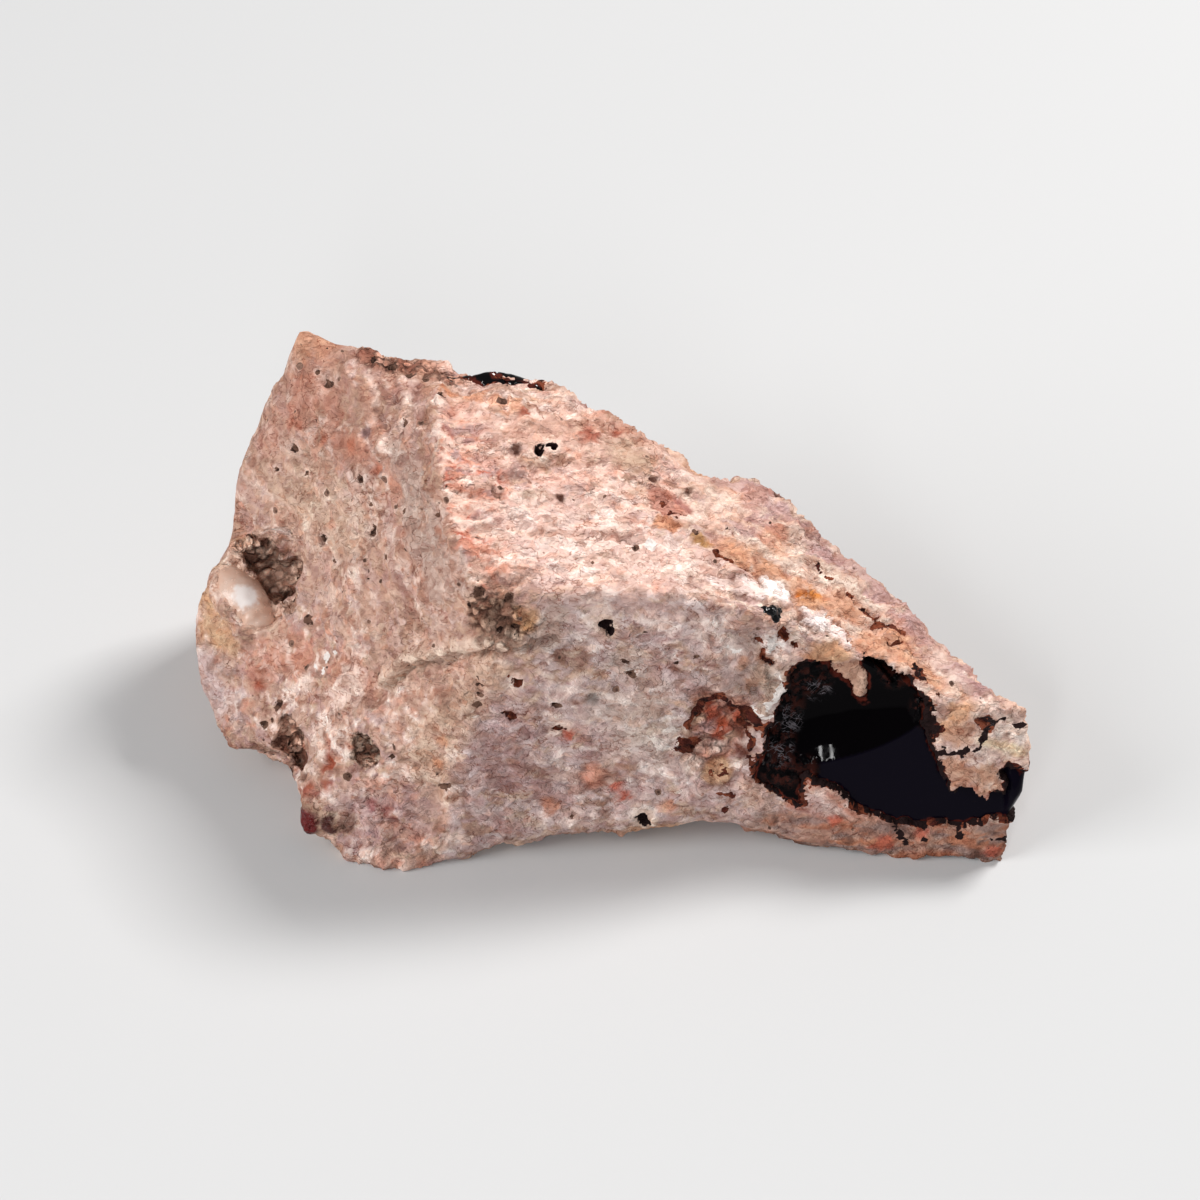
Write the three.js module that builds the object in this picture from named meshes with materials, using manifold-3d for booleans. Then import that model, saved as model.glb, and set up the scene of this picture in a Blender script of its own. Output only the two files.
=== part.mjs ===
// A rough fire opal: a broken wedge of pale rhyolite that holds a pocket of dark opal at its right front,
// a thin strip of opal along its back ridge, and a lens of clear hyalite on its left hip.
// Millimetres, +Z up. The stone rests on z = 0, its length runs along X, and +Y is its back.
import * as THREE from "three";
import { ConvexHull } from "three/addons/math/ConvexHull.js";
import { ImprovedNoise } from "three/addons/math/ImprovedNoise.js";
import { mergeVertices } from "three/addons/utils/BufferGeometryUtils.js";
import Module from "manifold-3d";

const wasm = await Module();
wasm.setup();

// The whole stone: half its length, depth and height, and the point that all its corners are seen from.
const HALF_SPAN = new THREE.Vector3(34, 17, 16);
const HEART = new THREE.Vector3(-2, -1, 12);
const GAP = 0.3; // between each mineral and the rock round it
const ROCK_CUTS = 4; // each corner triangle is divided this many times along a side
const BLOB_DETAIL = 3; // the same for the faces of each blob's icosphere
const ROCK_ROUGHNESS = [
  { wavelength: 9, depth: 0.55 },
  { wavelength: 3.6, depth: 0.3 },
];

// The corners of the broken rock, line by line.
const BACK_RIDGE = [
  [-24.5, 12.5, 32], [-20.5, 11, 31], [-14.5, 7.5, 31], [-11, 6, 29.5], [-7.5, 6.5, 29], [-4.5, 7.5, 29.5],
  [0, 5.5, 29], [5, 3, 27.5], [7, 2, 25.5], [10.5, 1.5, 24.5], [14, 1.5, 23.5], [16.5, -0.5, 22],
  [19.5, -2, 20], [24, -5.5, 17.5], [27.5, -8, 15.5], [30.5, -11, 14], [34, -13, 13],
];
const LEFT_CREST = [
  [-12, 4, 31.5], [-13, -1.5, 31], [-12.5, -5.5, 29.5], [-11.5, -9.5, 27.5], [-10.5, -12, 25.5],
];
const FRONT_LEDGE = [
  [-9, -13.5, 24.5], [-5.5, -13.5, 24.5], [-2, -13, 25], [1.5, -12.5, 25], [5.5, -12.5, 24.5],
  [9, -12.5, 23.5], [13, -12, 22], [16, -11.5, 20],
];
const TOP_FACE = [[-5, -3, 28.5], [0, -4, 27], [6, -6, 24.5], [12, -5, 23], [17.5, -7.5, 19.5], [24, -10, 16.5]];
const SHELF_EDGE = [[-24, 10, 29.5], [-20.5, 8.5, 30.5], [-16.5, 7, 31], [-14, 5, 31]];
const LEFT_FACE = [
  [-21.5, 4, 26], [-18, 2.5, 28], [-19, -3, 21.5], [-15.5, -8.5, 20.5], [-25.5, -0.5, 15], [-21, -6, 15.5],
  [-28, -3, 9.5], [-24.5, -8.5, 8], [-17.5, -12.5, 12.5], [-20.5, -13.5, 6],
];
const LEFT_EDGE = [
  [-26, 11.5, 27], [-28, 10, 23], [-29.5, 8, 20.5], [-30, 6, 17.5], [-30.5, 3, 15], [-33, 1.5, 12],
  [-33.5, 0, 9.5], [-33, -2.5, 6.5], [-31.5, -5.5, 3.5], [-28, -8, 2], [-24, -12.5, 4.5],
];
const FRONT_FACE = [
  [-9.5, -14.5, 17], [-11.5, -15.5, 9], [-12.5, -16.5, 4], [-1, -14, 16], [0, -14.5, 8], [7, -13.5, 17],
  [9, -14.5, 8], [16, -13, 16.5], [17, -14.5, 8], [22, -12.5, 17], [25, -14, 9], [27, -13.5, 14.5],
];
const RIGHT_END = [[33.5, -12, 9.5], [34, -15, 9], [33.5, -16.5, 6], [33, -16.5, 3], [32.5, -17, 0]];
const FRONT_FOOT = [
  [28.5, -17, 0], [24, -16.5, 0], [20, -16.5, 0.5], [14.5, -15.5, 1.5], [8, -15, 2.5], [3, -15.5, 2.5],
  [-2, -16, 2], [-7.5, -16, 1], [-12, -17, 0], [-16, -18, 0], [-20, -16.5, 0.5], [-23.5, -15.5, 2],
];
const BACK_FACE = [
  [-25.5, 15.5, 25], [-18, 15, 23.5], [-9, 13.5, 22.5], [0, 12.5, 20.5], [8, 10, 17.5], [16, 7, 15],
  [24, 1, 10.5], [30.5, -5.5, 8], [-29.5, 13, 12], [-21, 17, 11], [-10, 16.5, 10.5], [2, 15.5, 9.5],
  [12, 12, 8], [21, 6.5, 6],
];
// The underside is corners below the ground, so that the flat cut at z = 0 leaves a face to rest on.
const UNDERSIDE = [
  [-30.5, 3, -1], [-29, 11, -1], [-23, 16, -1], [-12, 17, -1], [0, 16.5, -1], [11, 13.5, -1], [20, 8.5, -1],
  [28, 1, -1], [32.5, -8, -1], [29, -14, -1], [18, -13.5, -1], [8, -10, -1], [-2, -10, -1], [-11, -14, -1],
  [-20, -13, -1], [-22, -11, -1], [-24, -5, -1], [-15, 0, -1], [0, 0, -1], [14, 0, -1],
];

// The opal's outline on the rock's front, as [x, z], from its top left corner clockwise. It runs out past
// the rock's right end. The pocket behind it narrows towards its back.
const OPAL_OUTLINE = [
  [15, 16], [16.5, 17.5], [21.5, 17.5], [25, 16], [26.5, 13.5], [26.5, 10.5], [29, 9], [33, 8.5], [37, 8.5],
  [37, 3.5], [28.5, 3.5], [24, 3.5], [20.5, 4.5], [18.5, 6], [15.5, 7.5], [12.5, 7.5], [13, 10.5], [14, 14],
];
const OPAL_HEART = new THREE.Vector3(22.5, -13, 9);
const OPAL_SPAN = new THREE.Vector3(12, 6, 7);
const OPAL_RINGS = [
  { y: -20, share: 1 },
  { y: -12, share: 1 },
  { y: -9, share: 0.7 },
];
const OPAL_BACK = [[18, -8, 11], [25, -8, 9], [31, -8.5, 6.5]];
const OPAL_FRONT = [[19, -20, 11], [26, -20, 7], [32, -20, 6]];
const OPAL_CUTS = 2;
// The shell-like scoop that the break took out of the opal's upper half.
const SCOOP = { at: [19, -22.5, 18.5], radius: 12 };

// A thin strip of opal along the back ridge, right of the peak.
const STRIP = { at: [-8.5, 7, 29.2], size: [4.2, 1.4, 1.2], along: [8, 1, -1.5] };

// Crystal-lined hollows in the left face, and the lens of hyalite beside the first of them.
const HOLLOWS = [
  { at: [-26.5, 1, 16], size: [3.2, 2.6, 3.2] },
  { at: [-29.5, 5, 17], size: [1.8, 1.8, 1.6] },
  { at: [-25, -10.5, 6], size: [1.7, 1.6, 2.4] },
  { at: [-18.5, -14, 9], size: [1.2, 1.4, 1.9] },
];
const LENS = { at: [-29, 0.5, 12.5], size: [3.5, 2, 1.8], along: [4, -5, -2] };

const noise = new ImprovedNoise();

// A solid whose corners can all be seen from one point inside it. The squashed directions of the corners
// lie on a sphere, and the hull of that sphere says which corners share a face.
function crag(corners, heart, span, cuts) {
  const points = corners.map((c) => new THREE.Vector3(...c));
  const directions = points.map((p) => p.clone().sub(heart).divide(span).normalize());
  const hull = new ConvexHull().setFromPoints(directions);
  const positions = [];
  for (const face of hull.faces) {
    const [a, b, c] = [face.edge.prev, face.edge, face.edge.next].map(
      (edge) => points[directions.indexOf(edge.head().point)],
    );
    const at = (i, j) =>
      a.clone().multiplyScalar((cuts - i - j) / cuts).addScaledVector(b, i / cuts).addScaledVector(c, j / cuts);
    for (let i = 0; i < cuts; i++) {
      for (let j = 0; j < cuts - i; j++) {
        positions.push(at(i, j), at(i + 1, j), at(i, j + 1));
        if (i + j < cuts - 1) positions.push(at(i + 1, j), at(i + 1, j + 1), at(i, j + 1));
      }
    }
  }
  return mergeVertices(new THREE.BufferGeometry().setFromPoints(positions), 1e-3);
}

// Draws each vertex towards the middle of its neighbours, which rounds the edges between the faces.
function soften(geometry, share) {
  const position = geometry.getAttribute("position");
  const sums = Array.from({ length: position.count }, () => ({ total: new THREE.Vector3(), count: 0 }));
  const vertex = new THREE.Vector3();
  const corners = geometry.index.array;
  for (let i = 0; i < corners.length; i += 3) {
    for (let j = 0; j < 3; j++) {
      const sum = sums[corners[i + j]];
      sum.total.add(vertex.fromBufferAttribute(position, corners[i + ((j + 1) % 3)]));
      sum.count += 1;
    }
  }
  sums.forEach(({ total, count }, i) => {
    vertex.fromBufferAttribute(position, i).lerp(total.divideScalar(count), share);
    position.setXYZ(i, vertex.x, vertex.y, vertex.z);
  });
  return geometry;
}

// Moves each vertex along its normal by noise of several wavelengths.
function roughen(geometry, waves) {
  geometry.computeVertexNormals();
  const position = geometry.getAttribute("position");
  const normal = geometry.getAttribute("normal");
  const vertex = new THREE.Vector3();
  const outward = new THREE.Vector3();
  for (let i = 0; i < position.count; i++) {
    vertex.fromBufferAttribute(position, i);
    outward.fromBufferAttribute(normal, i);
    const height = waves.reduce((sum, { wavelength, depth }) => {
      const p = vertex.clone().divideScalar(wavelength);
      return sum + depth * noise.noise(p.x, p.y, p.z);
    }, 0);
    vertex.addScaledVector(outward, height);
    position.setXYZ(i, vertex.x, vertex.y, vertex.z);
  }
  return geometry;
}

function solidOf(geometry) {
  const bare = geometry.clone().deleteAttribute("normal").deleteAttribute("uv");
  const merged = mergeVertices(bare, 1e-3);
  return new wasm.Manifold(
    new wasm.Mesh({
      numProp: 3,
      vertProperties: new Float32Array(merged.getAttribute("position").array),
      triVerts: new Uint32Array(merged.index.array),
    }),
  );
}

function geometryOf(solid) {
  const { vertProperties, triVerts } = solid.getMesh();
  return new THREE.BufferGeometry()
    .setAttribute("position", new THREE.BufferAttribute(vertProperties, 3))
    .setIndex(new THREE.BufferAttribute(triVerts, 1));
}

// A rounded blob: an icosphere stretched to its half sizes, with its first one laid along a direction.
function blob({ at, size, along = [1, 0, 0] }, grow = 0) {
  const geometry = new THREE.IcosahedronGeometry(1, BLOB_DETAIL);
  geometry.scale(...size.map((half) => half + grow));
  const direction = new THREE.Vector3(...along).normalize();
  geometry.applyQuaternion(new THREE.Quaternion().setFromUnitVectors(new THREE.Vector3(1, 0, 0), direction));
  return solidOf(geometry.translate(...at));
}

// The outer shape of the whole stone, before the minerals are told apart, cut flat where it rests.
function wholeStone() {
  const corners = [
    BACK_RIDGE, SHELF_EDGE, LEFT_CREST, FRONT_LEDGE, TOP_FACE, LEFT_FACE, LEFT_EDGE, FRONT_FACE, RIGHT_END, FRONT_FOOT,
    BACK_FACE, UNDERSIDE,
  ].flat();
  const geometry = crag(corners, HEART, HALF_SPAN, ROCK_CUTS);
  soften(geometry, 0.5);
  const ground = new THREE.BoxGeometry(200, 200, 50).translate(0, 0, -25);
  return solidOf(roughen(geometry, ROCK_ROUGHNESS)).subtract(solidOf(ground));
}

// The pocket's shape, grown outwards all round by grow.
function opalPocket(grow = 0) {
  const ring = ({ y, share }) =>
    OPAL_OUTLINE.map(([x, z]) => [
      OPAL_HEART.x + share * (x - OPAL_HEART.x),
      y,
      OPAL_HEART.z + share * (z - OPAL_HEART.z),
    ]);
  const corners = [...OPAL_RINGS.flatMap(ring), ...OPAL_BACK, ...OPAL_FRONT];
  const geometry = soften(crag(corners, OPAL_HEART, OPAL_SPAN, OPAL_CUTS), 0.5);
  geometry.computeVertexNormals();
  const position = geometry.getAttribute("position");
  const normal = geometry.getAttribute("normal");
  for (let i = 0; i < position.count; i++) {
    position.setXYZ(
      i,
      position.getX(i) + grow * normal.getX(i),
      position.getY(i) + grow * normal.getY(i),
      position.getZ(i) + grow * normal.getZ(i),
    );
  }
  return solidOf(geometry);
}

function fireOpal(stone) {
  const scoop = new THREE.IcosahedronGeometry(SCOOP.radius, 6).translate(...SCOOP.at);
  return stone.intersect(opalPocket()).subtract(solidOf(scoop));
}

function rhyolite(stone) {
  const cuts = [opalPocket(GAP), blob(STRIP, GAP), ...HOLLOWS.map((hollow) => blob(hollow)), blob(LENS, GAP)];
  return cuts.reduce((rock, cut) => rock.subtract(cut), stone);
}

function piece(name, solid, material) {
  const mesh = new THREE.Mesh(geometryOf(solid), new THREE.MeshStandardMaterial(material));
  mesh.geometry.computeVertexNormals();
  mesh.name = name;
  return mesh;
}

const stone = wholeStone();
const specimen = new THREE.Group();
specimen.add(
  piece("rhyolite_matrix", rhyolite(stone), { color: 0xc49a86, roughness: 0.9, metalness: 0 }),
  piece("fire_opal_seam", fireOpal(stone), { color: 0x0b0608, roughness: 0.08, metalness: 0 }),
  piece("fire_opal_ridge_seam", stone.intersect(blob(STRIP)), { color: 0x160a08, roughness: 0.12, metalness: 0 }),
  piece("hyalite_lens", blob(LENS), { color: 0xe6d5c8, roughness: 0.08, metalness: 0 }),
);

// The origin is under the middle of the stone's box, on the ground.
const box = new THREE.Box3().setFromObject(specimen);
const middle = box.getCenter(new THREE.Vector3());
specimen.position.set(-middle.x, -middle.y, -box.min.z);
const part = new THREE.Group();
part.add(specimen);

export default part;
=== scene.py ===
"""Looks of a rough fire opal: pale broken rhyolite, a pocket of black opal, an opal strip and a hyalite lens.

Places and sizes are in millimetres in the part's own frame (+X along the length, +Y to the back, +Z up, the
ground at z = 0) and are turned into metres when a mesh or a material is made."""
import math

import bpy
import bmesh
import numpy as np
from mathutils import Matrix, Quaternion, Vector


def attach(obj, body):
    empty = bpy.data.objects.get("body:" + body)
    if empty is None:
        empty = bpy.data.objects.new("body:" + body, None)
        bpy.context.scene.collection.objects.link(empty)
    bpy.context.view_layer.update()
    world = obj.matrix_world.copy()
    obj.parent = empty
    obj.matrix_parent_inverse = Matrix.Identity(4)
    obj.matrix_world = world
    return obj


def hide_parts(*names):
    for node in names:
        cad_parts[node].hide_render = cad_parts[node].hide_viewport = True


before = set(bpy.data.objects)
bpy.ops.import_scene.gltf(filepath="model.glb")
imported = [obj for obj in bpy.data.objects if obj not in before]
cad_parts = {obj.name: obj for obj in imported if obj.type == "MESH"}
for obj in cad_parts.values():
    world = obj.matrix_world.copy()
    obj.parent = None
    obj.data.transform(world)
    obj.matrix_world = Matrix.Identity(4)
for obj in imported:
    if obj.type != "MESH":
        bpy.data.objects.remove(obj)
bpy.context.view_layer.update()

MM = 0.001
SEED = 11


# ---------------------------------------------------------------- noise

RANDOM_ROWS = 8192
RANDOM = np.random.default_rng(SEED).random((RANDOM_ROWS, 7))
LATTICE_FACTORS = (73856093, 19349663, 83492791)   # large primes, which scatter the lattice over the rows
SEED_FACTOR = 40503
MIXING_FACTOR = 668265263
NOISE_GAIN = 1.8
FLAKE_STRETCH = 2.6
FAR = 9.0        # a distance past all that is looked for


def lattice_values(cell, seed, count):
    """count numbers from 0 to 1 for each lattice cell, the same each run."""
    mixed = (seed + 1) * SEED_FACTOR
    for column, factor in zip(cell.T, LATTICE_FACTORS):
        mixed = mixed ^ column * factor
    mixed = (mixed ^ (mixed >> 15)) * MIXING_FACTOR
    return RANDOM[(mixed ^ (mixed >> 13)) % RANDOM_ROWS, :count]


def gradient_noise(points, wavelength, seed=0):
    """Smooth noise, about -1 to 1, with bumps about one wavelength apart."""
    scaled = points / wavelength + 0.37 * seed
    low = np.floor(scaled).astype(np.int64)
    part = scaled - low
    ease = part * part * part * (part * (part * 6 - 15) + 10)
    total = np.zeros(len(points))
    for corner in np.ndindex(2, 2, 2):
        corner = np.array(corner)
        gradient = lattice_values(low + corner, seed, 3) * 2 - 1
        weight = np.prod(np.where(corner, ease, 1 - ease), axis=1)
        total += weight * ((part - corner) * gradient).sum(1)
    return total * NOISE_GAIN


def layered_noise(points, wavelength, seed=0, layers=3):
    """Noise with finer layers on it, each of half the size and half the height of the one before."""
    return sum(gradient_noise(points, wavelength / 2 ** i, seed + 17 * i) / 2 ** i for i in range(layers))


def sway(points, wavelength, seed):
    """For each point a push that changes smoothly from place to place."""
    return np.stack([layered_noise(points, wavelength, seed + i, 2) for i in range(3)], 1)


def cells(points, size, seed=0):
    """The nearest of one scattered point per lattice cell: its distance, the gap to the second nearest,
    the vector from it, and four random numbers of its own."""
    scaled = points / size
    low = np.floor(scaled).astype(np.int64)
    best = np.full(len(points), FAR)
    second = np.full(len(points), FAR)
    offset = np.zeros((len(points), 3))
    traits = np.zeros((len(points), 4))
    for step in np.ndindex(3, 3, 3):
        cell = low + np.array(step) - 1
        values = lattice_values(cell, seed, 7)
        away = scaled - cell - values[:, :3]
        distance = np.linalg.norm(away, axis=1)
        nearer = distance < best
        second = np.where(nearer, best, np.minimum(second, distance))
        best = np.where(nearer, distance, best)
        offset[nearer] = away[nearer]
        traits[nearer] = values[nearer, 3:]
    return best * size, (second - best) * size, offset * size, traits


def drawn(points, along, stretch):
    """The points pressed together along a direction, which draws a pattern made from them out along it."""
    unit = np.array(along) / np.linalg.norm(along)
    run = points @ unit
    return points + np.outer(run / stretch - run, unit)


def flakes(points, size, seed, along):
    """Four random numbers from -1 to 1 for each of the torn, drawn-out flakes that the grain is made of."""
    torn = drawn(points, along, FLAKE_STRETCH) + 0.35 * size * sway(points, size, seed + 3)
    return 2 * cells(torn, size, seed)[3] - 1


def step_up(low, high, value):
    """value eased from 0 at low to 1 at high. low may be above high."""
    part = np.clip((value - low) / (high - low), 0, 1)
    return part * part * (3 - 2 * part)


# ---------------------------------------------------------------- meshes as arrays of millimetres

def read_mesh(mesh):
    """(points in mm, triangles) of a mesh."""
    mesh.calc_loop_triangles()
    points = np.empty(len(mesh.vertices) * 3)
    mesh.vertices.foreach_get("co", points)
    triangles = np.empty(len(mesh.loop_triangles) * 3, np.int32)
    mesh.loop_triangles.foreach_get("vertices", triangles)
    return points.reshape(-1, 3) / MM, triangles.reshape(-1, 3)


def write_mesh(name, points, triangles):
    """A smooth object made from points in mm and triangles."""
    mesh = bpy.data.meshes.new(name)
    mesh.vertices.add(len(points))
    mesh.vertices.foreach_set("co", (points * MM).astype(np.float32).ravel())
    mesh.loops.add(len(triangles) * 3)
    mesh.loops.foreach_set("vertex_index", triangles.astype(np.int32).ravel())
    mesh.polygons.add(len(triangles))
    mesh.polygons.foreach_set("loop_start", np.arange(0, len(triangles) * 3, 3, dtype=np.int32))
    mesh.update(calc_edges=True)
    mesh.polygons.foreach_set("use_smooth", np.ones(len(triangles), bool))
    obj = bpy.data.objects.new(name, mesh)
    bpy.context.scene.collection.objects.link(obj)
    return obj


def vertex_normals(points, triangles):
    """Which way the surface looks at each point, as unit vectors."""
    first, second, third = (points[triangles[:, i]] for i in range(3))
    face = np.cross(second - first, third - first)
    total = np.zeros_like(points)
    for i in range(3):
        np.add.at(total, triangles[:, i], face)
    return total / np.maximum(np.linalg.norm(total, axis=1, keepdims=True), 1e-12)


def edges_of(triangles):
    """The two ends of each side of each triangle."""
    return np.concatenate([triangles[:, [0, 1]], triangles[:, [1, 2]], triangles[:, [2, 0]]])


def neighbour_mean(values, triangles, rounds):
    """values drawn halfway towards the mean of each vertex's neighbours, rounds times."""
    start, end = edges_of(triangles).T
    count = np.maximum(np.bincount(start, minlength=len(values)), 1)
    columns = values if values.ndim == 2 else values[:, None]
    for _ in range(rounds):
        sums = [np.bincount(start, column[end], minlength=len(values)) for column in columns.T]
        columns = columns + 0.5 * (np.stack([total / count for total in sums], 1) - columns)
    return columns if values.ndim == 2 else columns[:, 0]


def remeshed(meshes, voxel):
    """One closed mesh, with faces about one voxel wide, of all that the given arrays enclose."""
    starts = np.cumsum([0] + [len(points) for points, _ in meshes])
    points = np.concatenate([points for points, _ in meshes])
    triangles = np.concatenate([triangles + start for (_, triangles), start in zip(meshes, starts)])
    obj = write_mesh("remeshed", points, triangles)
    remesh = obj.modifiers.new("Remesh", "REMESH")
    remesh.mode = "VOXEL"
    remesh.voxel_size = voxel * MM
    depsgraph = bpy.context.evaluated_depsgraph_get()
    mesh = bpy.data.meshes.new_from_object(obj.evaluated_get(depsgraph))
    out = read_mesh(mesh)
    bpy.data.objects.remove(obj)
    return out


def node_arrays(name, swell=0.0):
    """A CAD node's points and triangles, with its corners joined and swelled outwards by some millimetres."""
    points, triangles = read_mesh(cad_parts[name].data)
    points, place = np.unique(np.round(points, 4), axis=0, return_inverse=True)
    triangles = place.reshape(-1)[triangles]
    return points + swell * vertex_normals(points, triangles), triangles


# ---------------------------------------------------------------- camera, floor and light

CAMERA_TARGET = Vector((-0.4, 0.4, 13.0))
CAMERA_ELEVATION = math.radians(42)
CAMERA_DISTANCE = 330.0
VIEW_WIDTH = 97.2  # what the square picture spans at the target
SENSOR = 36.0
CLIP_START = 0.01  # in metres, as the next two are
CLIP_END = 20.0
FLOOR_SIZE = 6.0
FLOOR_COLOUR = (0.60, 0.605, 0.61)
FLOOR_ROUGHNESS = 0.85
SKY_COLOUR = (0.97, 0.98, 1.0)
SKY_STRENGTH = 0.27
GLINT_WAYS = ((-0.163, -0.802, 0.576), (-0.207, -0.791, 0.574))   # the opal mirrors these as two thin bars
GLINT_TARGET = Vector((17.4, -13.5, 9.3))
GLINT_LEAN = math.radians(22)


def add_camera():
    data = bpy.data.cameras.new("camera")
    data.sensor_width = SENSOR
    data.lens = SENSOR * CAMERA_DISTANCE / VIEW_WIDTH
    data.clip_start = CLIP_START
    data.clip_end = CLIP_END
    camera = bpy.data.objects.new("camera", data)
    bpy.context.scene.collection.objects.link(camera)
    back = Vector((0, -math.cos(CAMERA_ELEVATION), math.sin(CAMERA_ELEVATION)))
    camera.location = (CAMERA_TARGET + back * CAMERA_DISTANCE) * MM
    camera.rotation_euler = (-back).to_track_quat("-Z", "Y").to_euler()
    bpy.context.scene.camera = camera


def add_lamp(name, direction, distance, size, power, colour=(1, 1, 1), target=CAMERA_TARGET, lean=0.0):
    """A lamp at a distance from its target, with its long side leaning by an angle."""
    data = bpy.data.lights.new(name, "AREA")
    data.shape = "RECTANGLE"
    data.size, data.size_y = (side * MM for side in size)
    data.energy = power
    data.color = colour
    light = bpy.data.objects.new(name, data)
    bpy.context.scene.collection.objects.link(light)
    direction = Vector(direction).normalized()
    light.location = (target + direction * distance) * MM
    light.rotation_euler = ((-direction).to_track_quat("-Z", "Y") @ Quaternion((0, 0, 1), lean)).to_euler()


def add_world():
    world = bpy.data.worlds.new("studio")
    world.use_nodes = True
    background = world.node_tree.nodes["Background"]
    background.inputs["Color"].default_value = (*SKY_COLOUR, 1)
    background.inputs["Strength"].default_value = SKY_STRENGTH
    bpy.context.scene.world = world


def add_floor():
    bpy.ops.mesh.primitive_plane_add(size=FLOOR_SIZE, location=(0, 0, 0))
    floor = bpy.context.object
    floor.name = "floor"
    material = bpy.data.materials.new("pale_floor")
    material.use_nodes = True
    shader = material.node_tree.nodes["Principled BSDF"]
    shader.inputs["Base Color"].default_value = (*FLOOR_COLOUR, 1)
    shader.inputs["Roughness"].default_value = FLOOR_ROUGHNESS
    floor.data.materials.append(material)


def add_studio():
    add_floor()
    add_world()
    add_lamp("key", (0.55, 0.4, 0.85), distance=600, size=(150, 150), power=3.4, colour=(1.0, 0.98, 0.96))
    add_lamp("fill", (-0.85, -0.3, 0.55), distance=700, size=(400, 400), power=3.0, colour=(1.0, 0.99, 0.98))
    for way in GLINT_WAYS:
        add_lamp("strip", way, distance=300, size=(3, 80), power=0.085, target=GLINT_TARGET, lean=GLINT_LEAN)
    bpy.context.scene.view_settings.view_transform = "Standard"


# ---------------------------------------------------------------- the bare stone

MINERALS = ("fire_opal_seam", "fire_opal_ridge_seam", "hyalite_lens")
VOXEL = 0.21        # width of the faces that the relief is carved in
SWELL = 0.35        # closes the gap that the CAD leaves round each mineral
SOFTEN_ROUNDS = 4   # of smoothing the CAD's corners before they are carved
NORMAL_ROUNDS = 6   # of smoothing for the ways that the surface is carved in
MOST_TRIANGLES = 196000

TOP = np.array((0.26, -0.18, 0.95))   # the way each broad face of the stone looks
FRONT = np.array((0.095, -0.987, 0.131))
LEFT = np.array((-0.65, -0.57, 0.50))


def bare_stone():
    """The rock and its minerals as one closed surface, to be carved and painted."""
    parts = [node_arrays("rhyolite_matrix")] + [node_arrays(name, SWELL) for name in MINERALS]
    points, triangles = remeshed(parts, VOXEL)
    return neighbour_mean(points, triangles, SOFTEN_ROUNDS), triangles


def facing(normals, direction, low, high):
    """1 where the surface looks along a direction, 0 where it looks elsewhere."""
    return step_up(low, high, normals @ direction)


# ---------------------------------------------------------------- colours

def srgb(red, green, blue):
    """Linear colour of a screen colour from 0 to 255."""
    share = np.array((red, green, blue)) / 255
    return np.where(share < 0.04045, share / 12.92, ((share + 0.055) / 1.055) ** 2.4)


CREAM = srgb(240, 212, 198)
SALMON = srgb(222, 152, 128)
TAN = srgb(208, 174, 150)
OCHRE = srgb(220, 168, 124)
ORANGE = srgb(216, 140, 96)
MAUVE = srgb(190, 152, 148)
BROWN = srgb(146, 104, 88)
UMBER = srgb(92, 62, 52)
RUST = srgb(156, 72, 48)
RED = srgb(190, 96, 74)


# ---------------------------------------------------------------- places on the stone

# the marks hold the stone's own colours, and also painted light: the near-black marks and the marks that fill
# holes are painted shade, and some white marks are painted highlights
MARKS = ("black_and_shade", "pit_shade", "rust", "chalk_and_highlight", "glaze", "porous", "crumb")


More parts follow.
